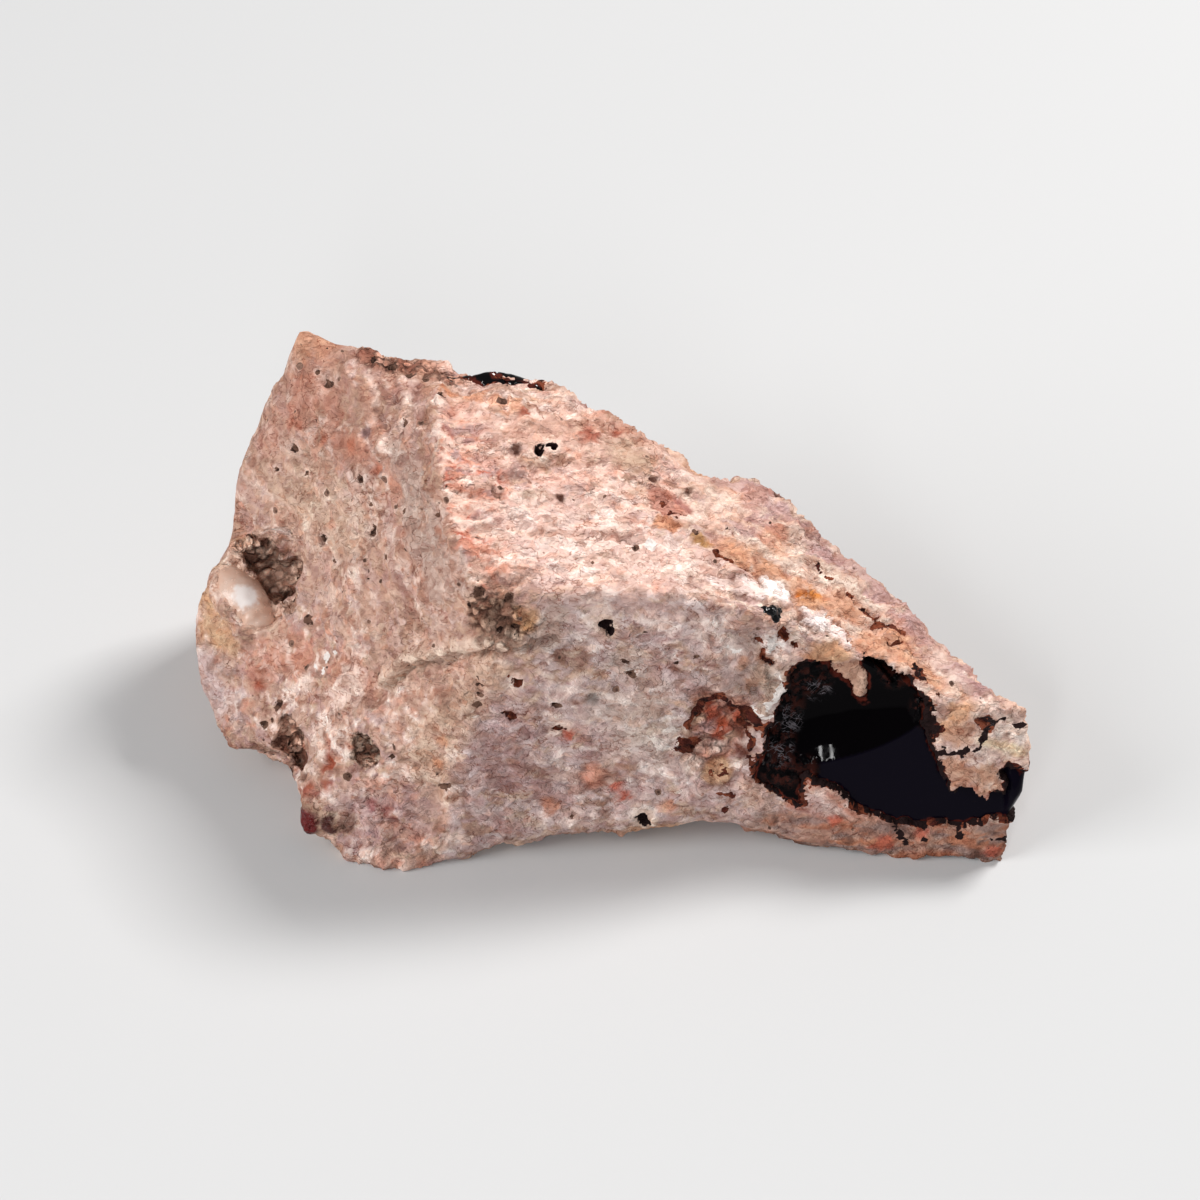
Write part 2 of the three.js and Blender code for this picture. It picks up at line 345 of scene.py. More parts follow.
class Skin:
    """The stone's surface: each vertex's place, the height that carving gives it, its colour and marks."""

    def __init__(self, points, triangles):
        self.points = points
        self.triangles = triangles
        self.normals = vertex_normals(neighbour_mean(points, triangles, NORMAL_ROUNDS), triangles)
        self.small_sway = 0.36 * sway(points, 1.1, 40)
        self.broad_sway = 1.1 * sway(points, 4.5, 44)
        self.warped = points + self.small_sway
        self.faces = faces_of(points, self.normals)
        self.flakes = self.torn(LEVEL_WAY)
        for zone, way in ((self.faces[2] > 0.5, CREST_WAY), (self.warped[:, 0] > 6, BAND_WAY)):
            self.flakes[zone] = self.torn(way)[zone]
        self.height = np.zeros(len(points))
        self.tint = np.zeros((len(points), 3))
        self.marks = {name: np.zeros(len(points)) for name in MARKS}

    def torn(self, along):
        """Random numbers for two sizes of flakes, added up."""
        return 0.7 * flakes(self.points, 0.9, 48, along) + 0.45 * flakes(self.points, 0.5, 49, along)

    def nearest(self, place):
        """The number of the vertex nearest to a place."""
        return np.argmin(((self.points - np.array(place)) ** 2).sum(1))

    def spot(self, place, radius, along=(1, 0, 0), stretch=1.0, wobble=1.0):
        """1 at a place, 0 at its edge and below 0 outside. It is stretched along a direction."""
        middle = self.nearest(place)
        near = np.abs(self.points - self.points[middle]).max(1) < 3 * radius * stretch + 1
        small, broad = wobble * np.clip((radius, (radius - 0.6) / 1.5), 0, 1)
        swayed = self.points + small * self.small_sway + broad * self.broad_sway
        away = swayed[near] - swayed[middle]
        unit = np.array(along, float) / np.linalg.norm(along)
        run = away @ unit
        away += np.outer(run / stretch - run, unit)
        inside = np.full(len(self.points), -FAR)
        inside[near] = 1 - np.linalg.norm(away, axis=1) / radius
        return inside

    def line(self, places, width, wobble=1.0):
        """1 on a line through the places, 0 at its edge and below 0 outside."""
        places = np.array([self.points[self.nearest(place)] for place in places])
        margin = 3 * width + 1
        near = ((self.points > places.min(0) - margin) & (self.points < places.max(0) + margin)).all(1)
        points = self.points[near] * (1 - wobble) + self.warped[near] * wobble
        best = np.full(len(points), np.inf)
        for start, end in zip(places[:-1], places[1:]):
            run = end - start
            part = np.clip((points - start) @ run / max(run @ run, 1e-9), 0, 1)
            best = np.minimum(best, np.linalg.norm(points - start - part[:, None] * run, axis=1))
        inside = np.full(len(self.points), -FAR)
        inside[near] = 1 - best / width
        return inside

    def mark(self, name, inside, strength=1.0):
        """Marks a shape: the mark runs from 1 well inside it through 0.5 at its edge to 0 outside."""
        self.marks[name] = np.maximum(self.marks[name], strength * np.clip(0.5 + 1.2 * inside, 0, 1))

    def paint(self, colour, amount):
        """Covers the colour with another one, by an amount from 0 to 1 at each vertex."""
        amount = np.clip(amount, 0, 1)[:, None]
        self.tint = self.tint * (1 - amount) + colour * amount

    def dent(self, depth, inside):
        """Sinks a shape by a depth in mm."""
        self.height -= depth * step_up(0, 0.7, inside)

    def patches(self, colour, strength, *patches, along=(1, 0, 0), stretch=1.0, soft=0.3):
        """Paints ragged patches, each a place and a radius."""
        for x, y, z, radius in patches:
            inside = self.spot((x, y, z), radius, along, stretch) + 0.6 * self.flakes[:, 3]
            self.paint(colour, strength * step_up(-soft, soft, inside))

    def pits(self, depth, *pits, halo=0.0, colour=None, along=(1, 0, 0), stretch=1.0):
        """Sinks small holes, each a place and a radius, and darkens them with painted shade. depth is in
        radii.
        """
        for x, y, z, radius in pits:
            inside = self.spot((x, y, z), radius, along, stretch, 0.9)
            self.dent(depth * radius, inside)
            if halo:
                self.paint(CREAM, halo * step_up(-1.2, -0.3, inside + 0.4 * self.flakes[:, 3]))
            # painted shade: the inside of each hole is marked dark or given a dark colour
            if colour is None:
                self.mark("pit_shade", inside - 0.1)
            else:
                self.paint(colour, step_up(-0.3, 0.2, inside))

    def crack(self, width, depth, *places, colour=UMBER):
        """Cuts a narrow groove through places on the surface and colours it: a dark colour is painted shade
        in the groove, rust is a stain.
        """
        inside = self.line(places, width)
        self.dent(depth, inside + 0.3)
        # painted shade when the colour is dark; a stain when it is rust
        self.paint(colour, 0.8 * step_up(-0.4, 0.4, inside))

    def slit(self, depth, inside, strength=1.0):
        """Cuts a slit of a given shape and lines it with rust."""
        self.dent(depth, inside)
        self.mark("rust", inside, strength)

    def mark_spots(self, name, *spots):
        """Marks round spots, each a place and a radius."""
        for x, y, z, radius in spots:
            self.mark(name, self.spot((x, y, z), radius))


# ---------------------------------------------------------------- carving the broken surface

CREST_WAY = (4, -17.5, -6.5)   # the crest between the left and the top face
BAND_WAY = (20, -7, -10)       # the flow bands that run down to the opal
LEVEL_WAY = (20, 3, -6)        # the layers that run right from the crest


# The crest between the left and the top face, and the ledge between the top and the front face, as places.
CREST = ((-13.1, 6.6, 30.3), (-13.2, 3, 31.2), (-13, 0, 31.2), (-12.8, -3.2, 29.8), (-12, -7.1, 28),
         (-10.9, -10.1, 26.6), (-9.8, -12, 25.2), (-9.1, -12.7, 24.8))
LEDGE = ((-5.8, -12.6, 24.7), (-3.5, -12.3, 24.9), (-0.4, -11.9, 24.9), (2.7, -11.5, 24.5),
         (7.3, -11.4, 23.6), (10.4, -11.2, 22.4), (13.2, -11.2, 20.8))
# Where the faces part: y and x along the crest, and z and x up the left side of the front face.
CREST_BORDER = ((6.6, -13.1), (3, -13.2), (-3.2, -12.8), (-7.1, -12), (-10.1, -10.9), (-12.7, -9.1))
FRONT_BORDER = ((3.7, -12.4), (10.6, -12), (13, -10), (17.3, -8.9), (18.3, -5.8))


def chips(points, size, seed):
    """Heights of flat, tilted chips about one size wide, from about -0.5 to 0.5."""
    push = 0.2 * size * sway(points, 0.8 * size, seed + 60)
    _, _, offset, traits = cells(points + push, size, seed)
    return ((traits[:, :3] * 2 - 1) * offset).sum(1) / size + 0.5 * (traits[:, 3] - 0.5)


def pores(points, size, seed, share):
    """1 in the middle of scattered pores, 0 at their edge. share of the places hold one."""
    distance, _, _, traits = cells(points, size, seed)
    radius = size * (0.1 + 0.2 * traits[:, 1])
    return np.where(traits[:, 0] < share, 1 - distance / radius, -1.0)


def streaks(points, along, wavelength, stretch, seed):
    """Noise drawn out along a direction."""
    return layered_noise(drawn(points, along, stretch), wavelength, seed, 3)


def terraces(height, step):
    """The same heights, cut into flat steps with short risers."""
    level = height / step
    whole = np.floor(level)
    return step * (whole + step_up(0.3, 0.7, level - whole))


def seams(points, wavelength, seed, width):
    """1 along thin curling lines where noise crosses zero."""
    return np.exp(-(layered_noise(points, wavelength, seed, 2) / width) ** 2)


def crumbled(skin, zone, size, height, seed, colour):
    """Breaks a zone, given from 0 to 1, into lumpy crumbs, with painted shade in some of the gaps between
    them.
    """
    push = 0.22 * size * sway(skin.points, size, seed + 5)
    distance, gap, _, traits = cells(skin.points + push, size, seed)
    crumb = np.sqrt(np.clip(1 - (distance / (0.8 * size)) ** 2, 0, 1)) + 0.8 * traits[:, 1]
    skin.height += zone * height * (crumb - 1.1)
    skin.paint(colour * (0.5 + 0.9 * traits[:, 1:2]), zone * 0.9)
    # painted shade in the gaps between the crumbs
    skin.paint(UMBER * 0.7, zone * 0.8 * step_up(0.2, 0.02, gap / size) * (traits[:, 2] > 0.4))
    skin.marks["crumb"] = np.maximum(skin.marks["crumb"], zone)


def plate(skin, place, length, width, turn, white):
    """Lays a thin flat flake of crust with straight edges on the rock, with a painted shadow along its edge.
    """
    nearest = skin.nearest(place)
    turned = np.array((math.cos(math.radians(turn)), 0, math.sin(math.radians(turn))))
    across = np.cross(skin.normals[nearest], turned)
    across /= np.linalg.norm(across)
    away = skin.points - skin.points[nearest]
    run = away @ np.cross(across, skin.normals[nearest]) / length
    side = away @ across / width
    corners = 0.72 * np.abs(run + side) + 0.1 * np.abs(run)
    reach = np.maximum(np.maximum(np.abs(run), np.abs(side)), corners)
    inside = np.where(np.linalg.norm(away, axis=1) < 4, 1 - reach + 0.35 * skin.flakes[:, 2], -1)
    flat = step_up(-0.06, 0.06, inside)
    skin.height += flat * (0.25 - 0.9 * skin.height)
    # painted shadow: a brown line just outside the flake's edge
    skin.paint(BROWN, 0.6 * np.exp(-((inside + 0.2) / 0.12) ** 2))
    skin.paint(white, 0.9 * flat)


def faces_of(points, normals):
    """How much each vertex belongs to the top, the front, the left face and the hip, from 0 to 1."""
    x, y, z = points.T
    ragged = 0.5 * layered_noise(points, 1.5, 45, 3)
    crest_y, crest_x = np.array(CREST_BORDER).T
    crest = np.interp(-y, -crest_y, crest_x) + 0.6 * ragged
    right_of_crest = step_up(-0.15, 0.15, x - crest)
    ledge_x, ledge_y, ledge_z = np.array(LEDGE).T
    over = 0.7 * (y - np.interp(x, ledge_x, ledge_y)) + 0.7 * (z - np.interp(x, ledge_x, ledge_z))
    along_ledge = (x > -7) & (x < 14)
    over = step_up(-0.12, 0.12, over + 0.25 * ragged)
    over = np.where(along_ledge, over, facing(normals, TOP, 0.6, 0.8))
    top = over * facing(normals, TOP, 0.3, 0.5) * right_of_crest
    border_z, border_x = np.array(FRONT_BORDER).T
    border = np.interp(z, border_z, border_x) + ragged
    front = facing(normals, FRONT, 0.5, 0.7) * step_up(-0.25, 0.25, x - border)
    front = np.where(along_ledge & (z > 17), front * (1 - over), front)
    near_top = (z > 24) * (1 - right_of_crest)
    left = (x < 0) * step_up(12, 17, z) * np.maximum(facing(normals, LEFT, 0.6, 0.85), near_top)
    hip = step_up(-19, -23, x) * step_up(18, 14, z)
    return top, front, left, hip


def sharpen_edges(skin):
    """Raises the crest and the ledge into sharp, chipped edges."""
    for edge, rise in ((CREST, 0.55), (LEDGE, 0.5)):
        inside = np.clip(skin.line(edge, 1.0, 0.5), 0, 1)
        skin.height *= 1 - 0.6 * step_up(0, 0.6, inside)
        skin.height += rise * inside * (1 + 0.5 * skin.flakes[:, 1])


def carve_fracture(skin):
    """Chips, flakes and grain all over, as coarse as each face is."""
    p = skin.points
    top, front, left, _ = skin.faces
    coarse = 0.34 - 0.06 * top - 0.26 * front - 0.1 * left
    calm = 1 - 0.5 * step_up(-0.1, 0.5, layered_noise(p, 8.0, 46, 2))
    flaky = (0.38 - 0.22 * front) * calm
    away = step_up(0.35, 0.8, skin.normals[:, 1])
    broad = coarse * chips(p, 4.4, 1) + 0.2 * chips(p, 1.8, 2) + away * (0.8 * chips(p, 9.0, 61) - 0.2)
    skin.height += neighbour_mean(broad, skin.triangles, 2)
    skin.height += flaky * terraces(0.9 * layered_noise(skin.warped, 4.5, 3, 3), 0.26)
    skin.height += flaky * terraces(0.5 * layered_noise(skin.warped, 1.7, 10, 2), 0.16)
    skin.height += 0.35 * top * terraces(streaks(skin.warped, LEVEL_WAY, 1.3, 3, 8), 0.3)
    skin.height += calm * ((0.12 - 0.06 * front) * chips(p, 0.8, 3) + 0.03 * layered_noise(p, 0.6, 4, 2))
    skin.height += calm * (0.08 - 0.03 * front) * skin.flakes[:, 0]
    skin.height += 0.22 * left * terraces(streaks(p, CREST_WAY, 0.9, 5, 5), 0.4)
    crease = seams(skin.warped, 1.5, 9, 0.11)
    skin.height -= 0.13 * crease
    # painted shade along the creases
    skin.paint(MAUVE * 0.72, 0.3 * crease)
    left_corner = skin.spot((-24, 11.5, 30), 4.5, wobble=0)
    skin.height *= 1 - 0.75 * step_up(-0.2, 0.5, left_corner)
    left_end = -skin.normals[:, 0]
    skin.height *= 1 - 0.65 * step_up(0.6, 0.9, left_end)


def carve_pores(skin):
    """Where the rock is porous, and its larger pores, darkened inside with painted shade."""
    top, _, left, hip = skin.faces
    patchy = 0.25 * layered_noise(skin.warped, 5.0, 7, 2)
    skin.marks["porous"] = np.clip(0.16 + 0.2 * left + 0.3 * hip - 0.06 * top + patchy, 0, 0.7)
    inside = pores(skin.warped, 2.6, 6, 0.25)
    inside = np.where(0.2 + 0.5 * left + 0.9 * hip > 0.3 + 2 * patchy, inside, -1)
    skin.dent(0.5, inside)
    skin.paint(CREAM, 0.4 * step_up(-0.9, -0.1, inside))
    # painted shade inside the pores
    skin.mark("pit_shade", inside - 0.35, 0.9)


# ---------------------------------------------------------------- colour of the rock

def paint_ground(skin):
    """Broad colours of the faces, then flakes of other shades, which gather in patches 2 to 6 mm wide."""
    x, _, z = skin.points.T
    top, front, left, hip = skin.faces
    skin.paint(srgb(212, 172, 154), np.ones(len(x)))
    skin.paint(srgb(238, 201, 185), top)
    skin.paint(srgb(202, 177, 172), front)
    skin.paint(srgb(204, 166, 147), left)
    skin.paint(srgb(200, 162, 144), hip)
    skin.paint(srgb(176, 132, 114), 0.85 * left * step_up(19, 27, z))
    broad = layered_noise(skin.points, 7.0, 21, 2)
    blots = layered_noise(skin.warped, 2.6, 22, 3)
    one, two, three, four = skin.flakes.T
    calm = 1 - 0.45 * left
    skin.paint(SALMON, (0.5 - 0.3 * front) * calm * step_up(0.55, 0.7, one + 0.6 * blots + 0.3 * broad))
    skin.paint(TAN * 0.9, 0.8 * calm * step_up(0.3, 0.4, two - 0.6 * blots))
    pale = step_up(0.35, 0.45, three + 0.5 * blots - 0.3 * broad)
    skin.paint(srgb(246, 222, 210), (0.85 - 0.25 * front) * calm * pale)
    skin.paint(MAUVE * 0.92, 0.7 * calm * step_up(0.4, 0.5, four - 0.4 * blots + 0.3 * broad))
    skin.paint(BROWN, 0.7 * calm * step_up(0.8, 0.9, two - three))
    right = step_up(7, 13, x + 0.5 * (z - 20)) * (1 - 0.5 * front)
    flow = streaks(skin.warped, BAND_WAY, 1.3, 5, 24)
    skin.paint(srgb(220, 192, 176), 0.75 * right)
    skin.paint(srgb(212, 162, 138), 0.5 * right * step_up(0.1, 0.25, flow + 0.4 * one))
    skin.paint(srgb(234, 208, 190), 0.8 * right * step_up(0.15, 0.3, -flow + 0.5 * three))
    skin.paint(MAUVE, 0.7 * right * step_up(0.3, 0.4, four + 0.4 * flow))


# ---------------------------------------------------------------- the stone's own features, face by face
# A feature's numbers are its place in mm and its radius. Faces are named as they are seen from the front.

def left_face(skin):
    """The tall face left of the crest: tan and grey, with a rust-stained part and small pores."""
    skin.patches(srgb(210, 178, 156), 0.5, (-25.5, 4, 21.5, 2.6), (-23, 1.5, 21.5, 2.6), (-21, -1, 21.5, 2.2))
    skin.patches(srgb(192, 163, 150), 0.7, (-15.5, -1, 27.5, 1.6), (-15, -4, 27, 1.8), (-14.5, -7, 25.5, 2.2),
                 (-13.5, -9, 24.5, 1.8), along=CREST_WAY, stretch=1.8)
    skin.patches(srgb(190, 132, 110), 0.6, (-22, 5.5, 26.5, 1.2), (-20.5, 4, 27, 1.4), (-19.5, 2.5, 27, 1.2),
                 (-17, -0.5, 26.5, 1.1), (-16.5, -1.5, 26, 0.8), (-24.5, 9.5, 28.5, 0.8), soft=0.5)
    skin.patches(srgb(182, 108, 82), 0.7, (-25, 8, 25.5, 0.5), (-24.3, 7.4, 25.5, 0.4), (-22.5, 5, 26, 0.4),
                 (-20, 3.5, 26.5, 0.5), (-18, 0.5, 26.5, 0.5), (-24.6, 6.4, 24.2, 0.35), soft=0.4)
    skin.patches(srgb(196, 140, 120), 0.6, (-24, 9, 28, 2.0), (-22, 7, 28.5, 1.5), (-26, 9, 23, 1.5),
                 soft=0.7)
    skin.patches(srgb(196, 144, 118), 0.85, (-25, 11.8, 30.5, 1.2), (-23.8, 11.8, 30.7, 1.2),
                 (-22.4, 11.5, 30.6, 1.0), soft=0.3)
    skin.pits(1.2, (-19.5, 1, 25.5, 0.5), (-25, 6.5, 24, 0.45), (-18.5, -2.5, 23, 0.45),
              (-16, -3.5, 26, 0.3), (-22.5, 0, 20, 0.45), (-21.5, -1.5, 19, 0.35), (-15.5, 2.5, 29.5, 0.3),
              (-26.5, 6, 22, 0.25), (-24, 4.5, 23, 0.25), (-19, -1, 24.5, 0.2), (-17, -5, 22.5, 0.25),
              (-23, 9.5, 29.5, 0.25), halo=0.6)
    skin.crack(0.22, 0.25, (-23, 0.5, 20), (-22.5, -0.5, 19.3), (-22, -0.2, 20.2))
    skin.pits(0.5, (-19, 3.5, 28, 0.5), colour=MAUVE * 0.6)
    skin.patches(CREAM, 0.8, (-16.5, 2, 28, 0.7), (-13, 0, 31, 0.6), (-13, 3, 31, 0.5))
    for places in (((-18.5, 7, 30.5), (-18, 5.5, 30), (-18.5, 5.5, 29.5)),
                   ((-15.5, 5, 30.5), (-15.5, 3.5, 30))):
        skin.paint(CREAM, 0.7 * step_up(-0.5, 0.5, skin.line(places, 0.3)))


STRIP_PLACES = ((-8.6, 7.9, 29.7), (-7.4, 7.9, 29.5), (-5.4, 7.8, 29.3))
STRIP_WAY = (8, 1, -1.5)


def crest_and_ridge(skin):
    """The crest's salmon flakes, and the chipped skyline that holds the thin opal strip."""
    p = skin.points
    near = skin.spot((-10.8, -6, 29), 3.2, CREST_WAY, 2.6) - 3 * (1 - skin.faces[0])
    skin.paint(srgb(226, 186, 168), 0.7 * step_up(-0.4, 0.5, near))
    for colour, column, rarity in ((SALMON, 0, 0.1), (RED, 1, 0.5), (CREAM, 2, 0.4), (MAUVE, 3, 0.5)):
        some = step_up(rarity, rarity + 0.1, skin.flakes[:, column])
        skin.paint(colour, 0.8 * step_up(-0.3, 0.3, near) * some)
    near = step_up(-1, 0.5, skin.spot((-11, -6, 29), 4.5, CREST_WAY, 2))
    skin.height += 0.3 * near * terraces(streaks(p, (1, 0.2, -0.1), 0.9, 3, 31), 0.35)
    slot = np.maximum(skin.line(STRIP_PLACES, 0.28), skin.spot((-9.8, 8, 29.8), 0.85, STRIP_WAY, 1.9))
    behind_slot = skin.line(((-11, 9.2, 29.7), (-8.4, 9.3, 29.5), (-5.6, 9.2, 29)), 1.0)
    skin.height -= 0.7 * step_up(-0.2, 0.6, behind_slot)
    skin.strip = step_up(-0.1, 0.3, slot)
    skin.mark("rust", (slot + 0.25) * 1.5)
    rubble = skin.line(((-19, 9.8, 30.6), (-16.4, 9, 30.5), (-14.4, 8.4, 30.3), (-12.2, 7.4, 30.4)), 1.3)
    crumbled(skin, 0.9 * step_up(-0.1, 0.3, rubble), 0.8, 0.4, 35, srgb(204, 152, 130))
    skin.patches(ORANGE, 0.6, (-12, 5, 31, 0.9), (-10.5, 4.3, 31, 0.9), (-8.8, 4, 30.5, 0.9),
                 (-7, 4, 30, 0.8))
    skin.pits(1.2, (-13, 4, 31.5, 0.4), (-8, 4, 30.5, 0.4), (-17, 9, 31, 0.5), (-15.5, 7.5, 31.5, 0.45),
              (-14, 7, 31.5, 0.4), (-18.5, 9.5, 30.5, 0.4))


def top_face(skin):
    """The broad pink and cream face that slopes down to the right."""
    skin.patches(srgb(238, 208, 196), 0.55, (-6, -6, 27.5, 3), (-1, -6, 26.5, 3), (2, -8, 25.5, 2.6),
                 (5, -9, 24.2, 2.6), (-3, -10, 26, 2.4), soft=0.9)
    skin.patches(srgb(208, 164, 144), 0.7, (-6, 2, 29.5, 2.5), (-1, 3, 29, 2.5), (3, 3, 27.5, 2), soft=0.9)
    skin.patches(srgb(206, 176, 152), 0.6, (1.5, 1.5, 27.5, 1.2), (3, 0.5, 26.5, 1.0))
    skin.patches(ORANGE, 0.45, (11.5, 0.5, 24, 1.2), (13.5, -3, 22.7, 1.2))
    nodule = skin.spot((4.9, -1.7, 25.3), 1.55, (1, 0, -0.3), 1.4, wobble=0.3)
    skin.paint(srgb(236, 206, 190), 0.7 * step_up(-0.5, 0, nodule))
    skin.paint(srgb(196, 134, 116), 0.85 * step_up(0, 0.15, nodule))
    skin.patches(srgb(168, 112, 104), 0.8, (5.8, -1.2, 25.1, 0.6), (6.3, -1.8, 24.9, 0.5),
                 (4.6, -1.2, 25.4, 0.4), soft=0.25)
    crumbs = step_up(0, 0.2, skin.spot((5, -4.1, 25.1), 0.9, (1, 0, -0.3), 1.5))
    skin.height += 0.25 * crumbs * chips(skin.points, 0.7, 62)
    skin.paint(srgb(206, 142, 106), 0.85 * crumbs)
    skin.patches(srgb(170, 122, 66), 0.85, (7.1, -5.1, 24.3, 0.45), (7.8, -5.3, 24.1, 0.35), soft=0.25)
    skin.patches(RUST, 0.8, (-1.5, 2.5, 28.5, 0.7), (-6.5, 3.5, 30, 0.5), (1, 3.5, 28, 0.4), soft=0.5)
    for places in (((4.4, -2.3, 25.5), (5.4, -2.6, 25.2), (6.3, -2.7, 24.9)),
                   ((4.6, -1.2, 25.4), (4.9, -2, 25.3)), ((5, -3.1, 25.2), (6, -3.3, 25))):
        inside = skin.line(places, 0.14)
        skin.dent(0.25, inside + 0.3)
        skin.mark("rust", inside)
    skin.patches(MAUVE, 0.6, (9, 2.5, 24, 1.8), (12.5, 1.5, 23.5, 1.8), (17, -1, 21, 1.6),
                 (19.5, -2, 19.5, 1.6))
    for place, radius in (((-5.1, 0.1, 29.2), 0.42), ((-4.1, 0.6, 29.1), 0.38), ((-4.5, 0.5, 29.1), 0.2)):
        inside = skin.spot(place, radius, wobble=1.3)
        skin.dent(0.9, inside)
        skin.paint(srgb(244, 216, 200), 0.5 * step_up(-1.6, -0.6, inside))
        # painted shade: the inside of each dent is made near-black
        skin.mark("black_and_shade", inside)
    skin.pits(0.8, (-7, -0.5, 29.5, 0.4), (-3.5, -4, 28, 0.4), (3.5, 0, 26, 0.35), (14, 2, 23, 0.45),
              (6.6, 0, 25, 0.3), colour=UMBER * 1.3)
    skin.pits(1.0, (2.5, -7, 25.5, 0.35), (7, -4.5, 24.5, 0.35), (-10.5, -12.5, 24, 0.4), (0, -3, 27, 0.2),
              (9.5, -3.5, 23.8, 0.25), (-1, -9.5, 26, 0.2), (-8, -4, 29, 0.25))
    skin.crack(0.2, 0.3, (-9, -4, 29), (-8.2, -4.6, 28.8), (-7.8, -5.4, 28.5), colour=BROWN)
    skin.mark_spots("chalk_and_highlight", (3.4, -6.6, 25.4, 0.5))


def ledge(skin):
    """Where the crest runs out: a crumbled hollow, and an overhanging lip with a painted shadow under it,
    which dies away to the right.
    """
    p = skin.points
    crumbs = step_up(-0.2, 0.2, skin.spot((-8.3, -12.7, 23.4), 2.3, (1, 0, -0.4), 1.3))
    crumbled(skin, crumbs, 0.9, 0.5, 33, srgb(200, 160, 136))
    skin.pits(1.3, (-9.5, -12, 25, 0.5), (-7.5, -12.5, 25, 0.4), (-8, -13.3, 22.3, 0.5),
              (-6.8, -13.4, 22.6, 0.35))
    skin.patches(OCHRE, 0.7, (-6.2, -13, 23, 0.8), (-6, -13.2, 22.2, 0.6), soft=0.3)
    lip = ((-17.6, -11.1, 13.6), (-15.9, -11.1, 15.6), (-13.7, -11.5, 17), (-11.3, -12.7, 18.9),
           (-8.9, -13.8, 20.3), (-6.6, -13.9, 20.7), (-4, -13.5, 21.5))
    under = skin.line(lip, 0.5)
    fade = step_up(0.5, -7, p[:, 0])
    skin.height -= 1.2 * fade * step_up(-0.3, 0.9, under)
    # painted shadow under the overhanging lip
    skin.paint(UMBER, 0.85 * fade * step_up(-0.1, 0.6, under))
    above = tuple((x, y, z + 0.8) for x, y, z in lip[:6])
    raised = step_up(-0.6, 0.6, skin.line(above, 0.8))
    skin.height += 0.5 * raised
    skin.paint(srgb(226, 198, 178), 0.75 * raised)
    below = tuple((x, y, z - 1.4) for x, y, z in lip[:4])
    skin.height -= 0.35 * step_up(-0.5, 0.8, skin.line(below, 1.2))


def front_face(skin):
    """The flat grey-mauve face: fine-grained, with rust-lined slits, holes darkened with painted shade, and a
    tan border on its left.
    """
    smooth = step_up(0.1, 0.3, skin.spot((-4.3, -13.2, 22.5), 1.7, (0.2, 0, 1), 1.4))
    skin.paint(srgb(196, 172, 160), 0.8 * smooth)
    skin.patches(srgb(206, 172, 150), 0.75, (-8.5, -14, 18.5, 1.6), (-11, -14.5, 15.5, 2.2),
                 (-13.5, -15, 12, 2.4), (-14, -15, 8, 2.0), (-14.5, -15.5, 4.5, 1.6), soft=0.3)
    skin.patches(MAUVE * 0.85, 0.5, (-8.5, -14.5, 13, 2.2), (-8, -15, 9, 2.2), (-4, -14.5, 5.5, 2),
                 (4, -13, 17, 2), (0, -14, 11.5, 1.8), soft=0.9)
    skin.patches(srgb(214, 196, 184), 0.6, (1.5, -13.5, 14, 2.2), (4, -14, 11, 2), (2, -13.3, 18.5, 1.2),
                 soft=0.9)
    for place, radius in (((0, -12.6, 22.2), 0.5), ((0.3, -12.7, 21.3), 0.3), ((3, -15, 3), 0.55)):
        inside = skin.spot(place, radius, (0.3, 0, -1), 1.3, 1.3)
        skin.dent(1.0, inside)
        skin.paint(srgb(226, 198, 180), 0.7 * step_up(-1.4, -0.5, inside))
        # painted shade: the inside of each dent is made near-black
        skin.mark("black_and_shade", inside)
    skin.pits(1.2, (2, -13.5, 17.5, 0.3), (1.6, -13.2, 18.6, 0.25), (-4, -14, 15, 0.3), along=(1, 0, -0.5),
              stretch=1.9)
    skin.pits(1.0, (-13, -15.5, 7, 0.35), (-12.5, -15.5, 7.5, 0.3), (-10, -14, 15, 0.3),
              (-9.7, -14, 16, 0.25), (-9.8, -14, 17, 0.3), (5.5, -13.5, 18.5, 0.2), (7, -12.8, 19, 0.2),
              along=(1, 0, 0.2), stretch=1.6)
    skin.patches(CREAM, 0.9, (-3.3, -14.2, 12.4, 0.8), (-4, -14, 14, 0.5), (-7, -14, 17.5, 0.7), soft=0.2)
    skin.patches(RED, 0.9, (-2.9, -14.2, 11.6, 0.4), (0.9, -14.5, 6.4, 0.45), (1.3, -14.5, 5.4, 0.35),
                 soft=0.2)
    for x, y, z in ((-3.5, -14.2, 12.3), (-7, -14, 17.5), (-7.5, -14.5, 14)):
        skin.slit(0.5, skin.line(((x - 0.4, y, z + 0.2), (x + 0.3, y, z - 0.1)), 0.35))
    skin.pits(0.4, (-1, -14, 15.5, 0.55), colour=srgb(138, 124, 118))
    nodule = skin.spot((-1, -14, 7.5), 1.25)
    skin.paint(srgb(204, 140, 118), 0.85 * step_up(-0.2, 0.2, nodule))
    skin.paint(BROWN, 0.6 * np.exp(-(nodule / 0.16) ** 2))
    skin.height += 0.25 * step_up(0, 0.8, nodule)
    skin.patches(ORANGE, 0.5, (-13, -15, 11.5, 0.5), (-13.5, -15, 9.5, 0.5), (-4.5, -14, 4.5, 0.6),
                 (5, -15, 4.5, 0.7))


